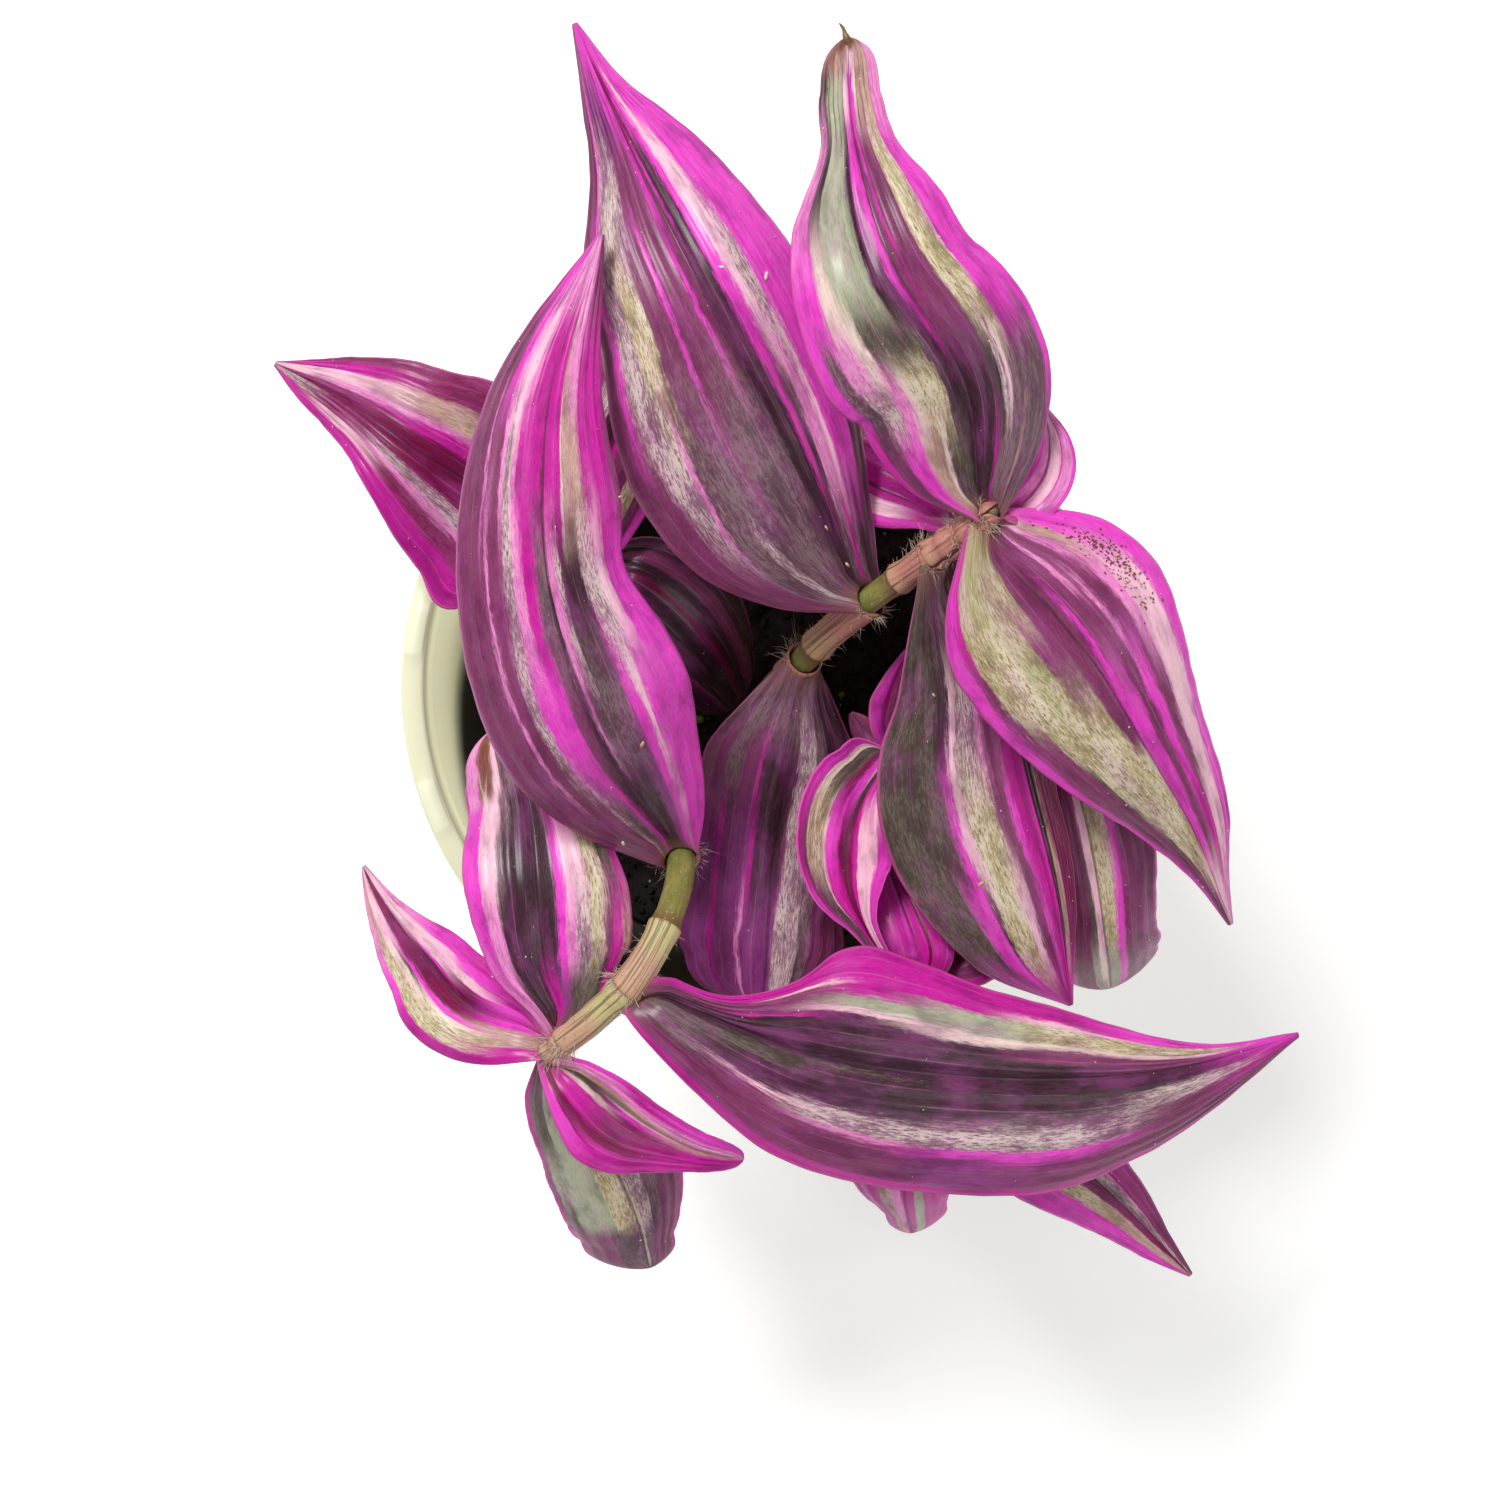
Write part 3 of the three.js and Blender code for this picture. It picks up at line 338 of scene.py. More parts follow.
LEAVES: tuple[LeafPlan, ...] = (
    LeafPlan(
        "leaf_a1", "a", (0.34, 0.41),
        ((5.5, -9.5, 100), (3.5, -21.5, 97.5), (2, -34, 96), (1, -47, 95.5)),
        (2.2, 6, 9.8, 12, 12.6, 12.4, 12, 11.4), (2.2, 8, 12.4, 13.6, 13.8, 13.6, 13.2, 12.6),
        (4, 14), (28, 32), (0.7, 2, 0.1),
        """.1: 1 dark .45 slate
        .3: 1 dark .5 slate .34 silver .12 dark -.3 magenta -.34 plum -.5 slate -.7 plum
        .58: 1 plum .55 slate .42 silver .1 plum .05 dark -.26 magenta -.31 violet -.6 magenta -.65
        violet
        .82: 1 plum .5 slate .36 silver .08 violet -.3 pink -.34 violet -.6 magenta -.65 violet""",
        blunt=0.8),
    LeafPlan(
        "leaf_a2", "a", (0.46, 0.61),
        ((4.5, 30.5, 131.5), (-6.5, 50.5, 137), (-16.5, 71, 131.5), (-25, 91, 121)),
        (3, 17.5, 21.5, 20.5, 16.5, 13.8, 7, 3.5), (2.5, 7, 11.5, 13.5, 14, 12.5, 9, 3.2),
        (14, 16), (30, 30), (0.8, 2.5, 0.3),
        """.1: 1 plum .62 slate .46 silver .4 slate .1 olive 0 dark -.25 slate -.42 magenta -.5 slate
        -.62 dark
        .25: 1 plum .76 silver .6 pink .57 slate .3 plum .27 slate .01 dark -.2 magenta -.26 dark -.34
        pink -.46 blush -.52 hot -.8 plum
        .53: 1 plum .88 hot .82 silver .66 gold .52 plum .34 hot .31 plum .12 hot .09 plum -.02 dark
        -.18 hot -.3 blush -.4 silver -.52 hot
        .72: 1 plum .8 hot .74 silver .42 plum .1 hot .05 plum -.04 hot -.08 dark -.18 hot -.26 blush
        -.42 hot -.94 plum
        .86: 1 plum .75 hot .7 violet .25 hot .04 wine -.12 hot -.24 blush -.34 hot
        .97: 1 plum .6 hot""",
        swells=(Swell(0.2, 0.55, 0.12, 0.2, 0.7), Swell(0.62, -0.35, 0.12, 0.2, 0.6))),
    LeafPlan(
        "leaf_a3", "a", (0.70, 0.80),
        ((33, 1.5, 118), (38, -15, 110.5), (43, -31.5, 103.5), (46.5, -47, 94)),
        (2.5, 6, 6.5, 6, 5.5, 5, 3.8, 2.2), (2.5, 10, 15.2, 19.3, 21, 20, 17, 11.5),
        (12, 14), (26, 26), (0.7, 2, 0.6),
        """.12: 1 olive -.3 slate -.36 olive
        .3: 1 plum .3 dark .05 magenta -.08 plum -.22 pink -.28 silver -.44 blush -.5 dark -.6 olive
        .55: 1 wine .42 tan .32 dark .14 magenta -.1 hot -.13 plum -.24 gold -.44 blush -.5 hot -.56
        olive
        .8: 1 wine .45 tan .3 dark .18 magenta -.07 hot -.1 plum -.2 blush -.28 gold -.48 dark -.52
        hot -.64 olive
        .97: 1 magenta -.4 hot""",
        roll=(-8, -12)),
    LeafPlan(
        "leaf_a4", "a", (0.815, 0.9),
        ((22, 24.5, 123.6), (16, 27.5, 121.3), (11, 31.5, 118.5), (6, 36, 115.5)),
        (2, 2.2, 4, 5.2, 5.8, 5.5, 4.5, 3), (2, 2.2, 4.5, 5.5, 6, 5.5, 4.5, 3),
        (12, 12), (24, 24), (0.3, 2, 0.1),
        """.15: 1 hot .7 magenta
        .35: 1 hot .66 blush .3 magenta -.4 hot -.7 magenta""",
        blunt=0.6),
    LeafPlan(
        "leaf_a5", "a", (0.86, 0.955),
        ((42.5, 6, 134), (52.5, -8, 127), (61.5, -21, 116), (68.5, -34.5, 104)),
        (3, 13.2, 15.8, 13.7, 11.3, 9, 6.5, 3), (3, 14.3, 16.5, 16, 13.3, 9.8, 6, 2.5),
        (14, 14), (30, 32), (0.7, 2.5, 0.2),
        """.08: 1 hot .64 tan .5 pink .44 plum .3 pink .26 plum -.2 moss -.78 magenta -.86 hot
        .25: 1 hot .82 blush .6 pink .5 plum .36 pink .32 plum .12 hot .08 plum -.32 moss -.5 gold
        -.78 plum -.86 hot
        .46: 1 hot .84 blush .6 plum .44 hot .32 plum .22 hot .02 plum -.12 gold -.66 plum -.86 hot
        .55: 1 hot .8 blush .56 plum .42 hot .3 plum .2 hot 0 gold -.58 olive -.64 plum -.88 hot
        .74: 1 hot .74 blush .5 magenta .3 plum .16 hot -.02 gold -.5 olive -.56 plum -.9 hot
        .93: 1 pink .4 blush -.2 plum -.75 hot"""),
    LeafPlan(
        "leaf_a6", "a", (0.93, 0.975),
        ((27.5, 38, 144), (18, 53, 149), (13, 70, 144.5), (12.3, 85.5, 136)),
        (3, 12.5, 15.2, 16.3, 14.3, 11, 4.9, 4), (2.6, 8.8, 12.2, 13, 11.2, 9.4, 5.6, 4),
        (16, 14), (30, 28), (0.8, 3, 0.5),
        """.1: 1 magenta .9 plum .72 hot .5 tan .33 cream .29 olive .05 dark -.28 magenta -.32 slate -.62
        tan -.66 slate
        .27: 1 hot .88 slate .78 silver .6 pink .5 cream .43 gold .2 dark -.4 silver -.46 blush -.5
        slate -.92 hot
        .4: 1 hot .9 slate .8 pink .64 cream .55 olive .14 dark .04 magenta 0 plum -.34 gold -.58 hot
        .5: 1 hot .74 cream .6 sage .26 dark .08 hot .02 plum -.08 magenta -.1 plum -.35 gold -.58
        cream -.61 hot
        .7: 1 pink .76 dark .6 sage .3 dark .2 hot .04 plum -.06 hot -.1 plum -.33 gold -.57 cream
        -.59 hot
        .87: 1 olive .7 sage .2 blush .1 hot -.12 cream -.2 tan -.62 pink
        .955: 1 brown .5 tan .1 blush -.2 tan -.62 pink
        .99: 1 brown""",
        swells=(Swell(0.5, 0.5, 0.1, 0.16, 1.3), Swell(0.56, 0.18, 0.1, 0.12, -1.2),
                Swell(0.33, 0.3, 0.08, 0.14, 0.8), Swell(0.42, -0.45, 0.1, 0.2, 0.8)),
        blunt=0.9),
    LeafPlan(
        "leaf_a7", "a", (0.968, 1),
        ((35.9, 23.6, 132.2), (39, 27.3, 133), (39.5, 32, 134.6), (38, 37, 135.4)),
        (1.2, 2.2, 3.4, 3.9, 3.9, 3.5, 2.7, 1.6), (1.2, 2.6, 3.5, 3.9, 3.9, 3.5, 2.7, 1.6),
        (24, 24), (10, 10), (0.2, 2, 0.1),
        """.15: 1 hot .3 magenta
        .45: 1 hot .5 pink .12 magenta .02 blush -.45 magenta -.5 pink -.85 hot"""),
    LeafPlan(
        "leaf_b1", "b", (0.39, 0.45),
        ((-21, -8, 129), (-27.5, 13, 137.5), (-27.5, 36.5, 138.5), (-20.5, 59, 138)),
        (3, 10, 14, 14.2, 13, 11.6, 9.5, 5.5), (3, 10.5, 14.5, 14, 10.5, 10.5, 7.5, 4),
        (14, 16), (30, 30), (0.9, 2.5, 0.7),
        """.1: 1 plum .4 silver .34 slate .2 magenta .12 dark -.28 violet -.4 hot -.5 pink -.6 hot
        .28: 1 plum .62 pink .59 plum .48 silver .41 hot .14 plum .03 dark -.03 pink -.07 slate -.38
        hot -.5 blush -.56 hot
        .48: 1 plum .64 pink .61 plum .45 silver .35 pink .26 magenta .14 slate .03 dark 0 pink -.12
        silver -.16 dark -.42 silver -.6 blush -.7 hot
        .68: 1 plum .7 pink .67 plum .49 pink .45 silver .38 blush .34 pink .3 magenta .01 wine -.02
        magenta -.25 cream -.28 tan -.5 magenta -.9 plum
        .83: 1 plum .62 hot .5 pink .4 blush .3 pink .2 magenta -.28 tan -.34 pink -.52 magenta
        .96: 1 magenta .8 hot .4 pink -.6 plum""",
        swells=(Swell(0.5, -0.6, 0.12, 0.2, 0.8), Swell(0.4, 0.55, 0.12, 0.2, 0.6))),
    LeafPlan(
        "leaf_b2", "b", (0.63, 0.775),
        ((7.5, -52, 116), (32.5, -56, 111), (57, -56, 104), (80, -51.5, 94)),
        (3.2, 3.8, 14.4, 16, 13, 10, 5.7, 1.8), (4.5, 10.5, 16, 17.8, 18, 17.3, 13.3, 7.3),
        (14, 14), (30, 30), (0.9, 2.5, 0.0),
        """.08: 1 magenta .7 plum .4 dark -.1 olive -.35 slate -.6 plum -.86 magenta
        .2: 1 magenta .72 cream .68 plum .4 magenta .36 dark -.04 olive -.2 dark -.42 blush -.47 plum
        -.88 magenta
        .33: 1 magenta .6 sage .48 blush .43 dark -.04 olive -.1 dark -.38 silver -.54 pink -.59 plum
        -.88 magenta
        .47: 1 magenta .66 sage .46 cream .36 dark -.34 slate -.42 silver -.58 hot -.66 violet -.92
        magenta
        .62: 1 magenta .74 blush .66 gold .46 cream .4 plum .2 dark -.28 slate -.38 silver -.57 hot
        -.7 plum -.94 magenta
        .8: 1 hot .7 gold .42 blush .36 plum 0 dark -.16 silver -.36 plum -.88 magenta
        .95: 1 hot -.2 magenta -.6 plum""",
        swells=(Swell(0.2, 0.95, 0.05, 0.3, -1.6), Swell(0.31, 0.95, 0.06, 0.35, 1.4),
                Swell(0.36, 0.5, 0.06, 0.2, -1), Swell(0.5, 0.6, 0.1, 0.2, 0.8))),
    LeafPlan(
        "leaf_b3", "b", (0.8, 0.96),
        ((-29.7, -40, 113.8), (-30.5, -28.5, 114.6), (-32, -17, 110.8), (-36, -6, 105)),
        (2.2, 4, 7.5, 9.8, 10.8, 10.8, 9.4, 7.5), (2.8, 8.2, 12.2, 13, 12.4, 10.5, 8, 5.5),
        (14, 14), (24, 24), (0.4, 2, 0.0),
        """.12: 1 pink .6 dark .1 magenta -.15 violet -.3 olive -.8 magenta
        .34: 1 hot .74 pink .54 dark -.2 hot -.3 pink -.4 silver -.55 gold -.7 plum -.78 magenta -.92
        tan
        .6: 1 hot .74 blush .52 slate .42 dark -.2 hot -.32 blush -.55 gold -.75 olive -.9 magenta
        .76: 1 hot .72 blush .46 slate .3 dark -.15 plum -.3 hot
        .83: 1 magenta .95 pink .74 brown .52 blush .38 slate -.15 plum -.3 hot""",
        swells=(Swell(0.9, 0.85, 0.07, 0.25, 1.3),), blunt=0.7),
    LeafPlan(
        "leaf_b4", "b", (0.955, 0.97),
        ((-40.5, -46.5, 105.5), (-47.5, -40, 100.5), (-53.5, -33.5, 94), (-58.5, -27, 87)),
        (2.2, 6, 8, 8.4, 7, 5.8, 4.3, 2.6), (2.5, 6, 7.2, 6.6, 5.6, 3.8, 2.3, 1.2),
        (22, 26), (20, 20), (0.4, 2, 0.0),
        """.12: 1 magenta .6 tan .2 hot -.4 magenta
        .3: 1 magenta .8 gold .44 cream .36 hot .28 wine -.34 blush -.5 hot -.72 magenta
        .52: 1 hot .8 gold .56 cream .44 olive .38 hot .3 wine -.14 hot -.22 blush -.6 hot
        .76: 1 pink .78 tan .6 blush .3 claret .02 blush -.7 pink"""),
    LeafPlan(
        "leaf_b5", "b", (0.962, 0.98),
        ((-24, -63, 100), (-20.5, -71.5, 94), (-17.5, -80, 87.5), (-16, -88, 80)),
        (2.2, 4, 7, 9, 10.2, 9.2, 7.3, 4.8), (2.2, 7.5, 9.4, 10, 11, 11.2, 11.2, 9.8),
        (10, 10), (24, 30), (0.4, 2, 0.0),
        """.25: 1 plum .3 cream .1 gold -.4 sage -.66 olive -.9 magenta
        .5: 1 plum .6 slate .3 silver 0 gold -.3 sage -.88 olive -.96 magenta
        .7: 1 magenta .92 plum .5 slate .3 silver .1 gold -.3 sage -.76 olive -.94 magenta
        .82: 1 magenta .9 plum .3 slate .1 silver 0 slate -.4 plum -.9 magenta""",
        blunt=1),
    # The wine bands on leaf_b6's right half are painted shade where the blade is hollow.
    LeafPlan(
        "leaf_b6", "b", (0.978, 1),
        ((-22.5, -57.5, 109), (-16.2, -62.7, 107.5), (-9, -66.9, 104.5), (-1.8, -69, 100)),
        (2, 2.5, 3.2, 3.8, 3.8, 3.6, 3.2, 2.6), (2, 6, 8.6, 9.8, 8.6, 5.6, 3.4, 2.4),
        (30, 24), (10, 16), (0.3, 2, 0.0),
        """.2: 1 hot .75 pink .4 tan .05 olive -.1 cream -.2 magenta -.55 wine -.75 hot
        .45: 1 magenta .5 pink .3 tan .1 cream -.02 hot -.12 wine -.66 magenta
        .78: 1 hot .5 pink .1 tan -.2 magenta""",
        blunt=0.5),
    # leaf_c1's dark stripes are largely painted shade from the leaves above it.
    LeafPlan(
        "leaf_c1", "c", (0.62, 0.70),
        ((-19, 14, 94), (-12.5, 8.5, 92), (-7, 2.5, 87), (-3, -3, 80)),
        (2.5, 6, 9.5, 11.5, 12, 11.5, 10, 7.5), (2.5, 5, 8, 9.5, 10, 9, 7, 5),
        (10, 10), (24, 24), (0.4, 2, 0.0),
        """.3: 1 dark .7 plum .5 dark .3 wine .2 dark -.35 plum -.5 dark""",
        blunt=0.7),
    LeafPlan(
        "leaf_c2", "c", (0.87, 1),
        ((-39.5, 27.5, 105.5), (-49.5, 34, 109), (-59.5, 41, 106), (-69.5, 46.5, 101)),
        (9, 16.5, 14.4, 12.4, 9.2, 6.3, 4.7, 3), (3, 9.5, 13.8, 14.3, 12.3, 10.3, 6.8, 3.5),
        (16, 20), (22, 22), (0.6, 2, 0.0),
        """.25: 1 magenta .7 claret .52 pink .44 silver .3 wine -.2 magenta -.32 pink -.38 gold -.6
        claret
        .48: 1 magenta .66 claret .48 pink .4 silver .28 wine -.18 magenta -.33 pink -.4 tan -.66
        claret
        .75: 1 magenta .68 blush .48 claret -.25 pink -.35 blush -.6 magenta -.82 claret
        .92: 1 magenta .5 silver .1 claret -.2 blush -.6 magenta"""),
    LeafPlan(
        "leaf_c3", "c", (0.74, 0.80),
        ((-22.5, 29, 101), (-18, 40, 106.5), (-12.5, 50, 108), (-7.5, 59, 105)),
        (2.5, 6, 8.5, 9.5, 9.2, 8, 5.5, 2.8), (2.5, 6, 8.5, 9.5, 9.2, 8, 5.5, 2.8),
        (14, 14), (26, 26), (0.6, 2, 0.3),
        """.3: 1 magenta .8 plum .5 silver .25 dark .05 magenta -.1 plum -.4 gold -.6 plum -.8 hot"""),
    LeafPlan(
        "leaf_d1", "d", (0.84, 0.89),
        ((19.3, -9.8, 87.5), (17.3, -7.8, 89.5), (15.6, -5.8, 91), (14.2, -4, 91.5)),
        (1.8, 2, 2.3, 2.5, 2.5, 2.2, 1.8, 1.2), (1.8, 2, 2.3, 2.5, 2.5, 2.2, 1.8, 1.2),
        (20, 20), (10, 10), (0.1, 2, 0.1),
        """.3: 1 rose .4 pink -.2 rose"""),
    LeafPlan(
        "leaf_d2", "d", (0.94, 1),
        ((20, -6.5, 97.5), (20.5, -2.5, 100.5), (21.5, 2, 102.5), (23.5, 6.5, 104)),
        (1.8, 2.2, 3, 3.6, 3.8, 3, 2, 1.2), (1.8, 2.2, 3, 3.6, 3.8, 3.4, 2.6, 1.5),
        (20, 20), (12, 12), (0.2, 2, 0.1),
        """.3: 1 rose .9 hot .5 magenta .3 rose 0 magenta -.4 hot -.7 magenta"""),
    LeafPlan(
        "leaf_e1", "e", (0.76, 0.81),
        ((21.8, -56.5, 96.5), (21.5, -67, 91.5), (22.5, -76.5, 85), (24, -83.5, 75)),
        (1.6, 4.5, 7.5, 8.6, 8.2, 7.2, 6.6, 6.2), (2, 5, 7.5, 8.5, 9.5, 8.5, 6.6, 3.4),
        (10, 10), (24, 24), (0.4, 2, 0.2),
        """.5: 1 magenta .45 gold .25 magenta -.12 pink -.28 gold -.5 magenta
        .85: 1 magenta .4 sage .2 magenta -.1 pink -.3 tan -.5 magenta""",
        blunt=1),
    LeafPlan(
        "leaf_e2", "e", (0.84, 0.875),
        ((34, -58, 98.5), (44.5, -68, 94.5), (55.5, -78, 88.5), (66, -89, 81)),
        (1.6, 4, 7, 7.8, 7.6, 5.8, 4.2, 2), (2, 5.5, 8, 10, 9.8, 7.8, 5.7, 3.5),
        (16, 16), (22, 22), (0.5, 2, 0.2),
        """.5: 1 magenta .38 pink .3 silver .05 plum -.22 gold -.52 hot
        .9: 1 plum .38 pink .3 silver .05 wine -.22 tan -.5 hot"""),
    LeafPlan(
        "leaf_e3", "e", (0.90, 0.93),
        ((24, -39.5, 99.2), (22.2, -33.5, 98.4), (20, -27.5, 96.4), (18, -22, 93.6)),
        (2, 4.5, 5.8, 5.8, 5.5, 4.8, 4, 3), (1.8, 3.6, 5, 5, 4, 3, 2, 1),
        (18, 18), (16, 16), (0.3, 2, 0.2),
        """.3: 1 magenta .2 hot .12 magenta -.3 wine -.4 magenta"""),
    LeafPlan(
        "leaf_e4", "e", (0.958, 1),
        ((15.8, -35, 101.4), (13.2, -26.5, 101.2), (14.6, -17.5, 101.2), (19.8, -10, 100.7)),
        (1.8, 1.5, 2.8, 6.8, 8.6, 9.2, 8.8, 6.8), (1.8, 1.5, 2.6, 6.2, 8.4, 8.6, 7.4, 5.4),
        (15, 15), (-25, -25), (0.2, 2, 0.0),
        """.38: 1 hot .82 plum .62 olive .45 cream .4 magenta .1 wine -.1 magenta -.2 blush -.55 hot
        .6: 1 magenta .86 plum .76 gold .45 cream .38 hot .14 wine -.12 magenta -.22 blush -.62 hot
        .85: 1 hot .75 cream .6 olive .35 wine .2 hot 0 dark -.15 magenta -.35 pink -.55 blush -.75
        hot""",
        blunt=0.9),
    LeafPlan(
        "leaf_e5", "e", (0.70, 0.735),
        ((29.5, -40, 95.8), (35, -35.5, 96.8), (39.5, -30, 96.8), (43.5, -24, 96.6)),
        (2, 4, 5, 5.4, 5.2, 4.5, 3.5, 2), (1.6, 3, 4.5, 5.4, 5.2, 4.5, 3.5, 2),
        (12, 12), (20, 20), (0.3, 2, 0.2),
        """.3: 1 wine .5 plum .1 wine -.4 plum -.7 magenta"""),
    LeafPlan(
        "leaf_f1", "f", (0.80, 0.86),
        ((46, -13.5, 102), (49.5, -27, 99.5), (52, -39, 92), (54, -45.5, 80)),
        (2.5, 5.5, 8, 9.2, 9.8, 9, 8.6, 8.6), (2.5, 3.5, 5, 6, 6.2, 6, 6.2, 6),
        (10, 10), (24, 24), (0.4, 2, 0.2),
        """.3: 1 plum .45 hot .3 gold -.02 blush -.2 plum -.6 wine
        .65: 1 magenta .93 plum .36 hot .22 gold 0 blush -.18 olive -.3 plum -.72 magenta -.78 wine
        .85: 1 magenta .93 plum .33 hot .2 sage 0 cream -.2 sage -.36 wine -.8 magenta""",
        blunt=1),
    LeafPlan(
        "leaf_f2", "f", (0.92, 1),
        ((48, -3.5, 108), (53, -6.5, 111), (58, -10.5, 110.5), (62, -15.5, 107)),
        (2.2, 5, 7, 8, 8, 6.5, 4.5, 2.5), (2.2, 5, 7, 8, 8, 6.5, 4.5, 2.5),
        (14, 14), (24, 24), (0.4, 2, 0.2),
        """.3: 1 hot .8 plum .5 gold .25 plum .1 hot -.1 plum -.4 blush -.6 magenta"""),
)


# ---- shader work
class Value:
    """One output of a shader node. Sums and products of values add their Math nodes."""

    def __init__(self, shade: "Shade", socket: bpy.types.NodeSocket) -> None:
        """Wraps a socket of the material that shade is making."""
        self.shade = shade
        self.socket = socket

    def _math(self, operation: str, first: Number, second: Number) -> "Value":
        """A Math node of two inputs."""
        return self.shade.node("ShaderNodeMath", {"operation": operation}, {0: first, 1: second})

    def __add__(self, other: Number) -> "Value":
        """Self plus other."""
        return self._math("ADD", self, other)

    __radd__ = __add__

    def __sub__(self, other: Number) -> "Value":
        """Self less other."""
        return self._math("SUBTRACT", self, other)

    def __rsub__(self, other: Number) -> "Value":
        """Other less self."""
        return self._math("SUBTRACT", other, self)

    def __mul__(self, other: Number) -> "Value":
        """Self times other."""
        return self._math("MULTIPLY", self, other)

    __rmul__ = __mul__

    def ease(self, low: float, high: float) -> "Value":
        """Smooth step of the value from 0 at low to 1 at high, which may be the lower."""
        limits = {"From Min": low, "From Max": high}
        settings = {"interpolation_type": "SMOOTHSTEP"}
        return self.shade.node("ShaderNodeMapRange", settings, {"Value": self, **limits})

    def size(self) -> "Value":
        """The value without its sign."""
        return self._math("ABSOLUTE", self, 0.0)

    def cosine(self) -> "Value":
        """The cosine of the value in radians."""
        return self._math("COSINE", self, 0.0)

    def parts(self) -> tuple["Value", "Value", "Value"]:
        """The three parts of a vector."""
        first = self.shade.node("ShaderNodeSeparateXYZ", {}, {0: self})
        return first, first.also(1), first.also(2)

    def also(self, output: int | str) -> "Value":
        """Another output of the same node."""
        return Value(self.shade, self.socket.node.outputs[output])


class Shade:
    """A material under work: it adds nodes, joins them and ends in one shader."""

    def __init__(self, name: str, **constants: float) -> None:
        """Starts a material.

        Args:
            name: the material's name.
            constants: values of the shader's own sockets, with _ for a space in a name.
        """
        self.material = bpy.data.materials.new(name)
        self.material.use_nodes = True
        self.tree = self.material.node_tree
        self.tree.nodes.clear()
        self.shader = self.tree.nodes.new("ShaderNodeBsdfPrincipled")
        output = self.tree.nodes.new("ShaderNodeOutputMaterial")
        self.tree.links.new(self.shader.outputs[0], output.inputs[0])
        self.finish({key.replace("_", " "): value for key, value in constants.items()})

    def _join(self, socket: bpy.types.NodeSocket, value: Any) -> None:
        """Links a value to an input, or writes a number or colour into it."""
        if isinstance(value, Value):
            self.tree.links.new(value.socket, socket)
        elif socket.type == "RGBA":
            socket.default_value = (*value, 1.0)
        else:
            socket.default_value = value

    def node(self, kind: str, settings: dict[str, Any], inputs: dict[Any, Any], out: int | str = 0) -> Value:
        """Adds any node.

        Args:
            kind: the node's type.
            settings: its own settings, set first; "stops" fills a colour ramp.
            inputs: numbers, colours or values for its inputs.
            out: the output that is handed back.

        Returns:
            That output.
        """
        made = self.tree.nodes.new(kind)
        for key, setting in settings.items():
            if key == "stops":
                self._fill(made.color_ramp, setting)
            else:
                setattr(made, key, setting)
        for key, value in inputs.items():
            self._join(made.inputs[key], value)
        return Value(self, made.outputs[out])

    @staticmethod
    def _fill(ramp: bpy.types.ColorRamp, stops: Sequence[tuple[float, Sequence[float]]]) -> None:
        """Writes places and colours, with their alpha, into a colour ramp."""
        ramp.elements.remove(ramp.elements[-1])
        ramp.elements[0].position, ramp.elements[0].color = stops[0]
        for place, colour in stops[1:]:
            ramp.elements.new(place).color = colour

    def spot(self) -> Value:
        """The point's place in its piece, in metres."""
        return self.node("ShaderNodeTexCoord", {}, {}, "Object")

    def attribute(self, name: str) -> Value:
        """A vector that the mesh carries at its points."""
        return self.node("ShaderNodeAttribute", {"attribute_name": name}, {}, "Vector")

    def noise(self, at: Value, lumps: Triple, detail: float = 2.0, rough: float = 0.5) -> Value:
        """Soft noise from 0 to 1.

        Args:
            at: the vector that it follows.
            lumps: how many lumps there are to a unit of each of the vector's parts.
            detail: number of finer layers.
            rough: how strong each finer layer is.

        Returns:
            The noise.
        """
        place = self.node("ShaderNodeVectorMath", {"operation": "MULTIPLY"}, {0: at, 1: lumps})
        inputs = {"Vector": place, "Scale": 1.0, "Detail": detail, "Roughness": rough}
        return self.node("ShaderNodeTexNoise", {}, inputs)

    def mix(self, part: Number, first: Any, second: Any) -> Value:
        """A colour between two others."""
        return self.node("ShaderNodeMix", {"data_type": "RGBA"}, {0: part, 6: first, 7: second}, 2)

    def layers(self, colour: Any, *layers: tuple[Number, Any]) -> Any:
        """A colour under others in turn, each with the part that it covers."""
        for part, other in layers:
            colour = self.mix(part, colour, other)
        return colour

    def relief(self, height: Value, depth: float, strength: float = 1.0) -> Value:
        """A normal that shows height as relief, depth metres from 0 to 1."""
        return self.node("ShaderNodeBump", {}, {"Height": height, "Distance": depth, "Strength": strength})

    def surface(self, colour: Value, rough: Number, normal: Value | None = None) -> Material:
        """Joins the colour, the roughness and the normal, and hands the material back."""
        inputs = {"Base Color": colour, "Roughness": rough}
        return self.finish(inputs if normal is None else {**inputs, "Normal": normal})

    def finish(self, inputs: dict[str, Any]) -> Material:
        """Joins values to the shader's inputs and hands the material back."""
        for key, value in inputs.items():
            self._join(self.shader.inputs[key], value)
        return self.material


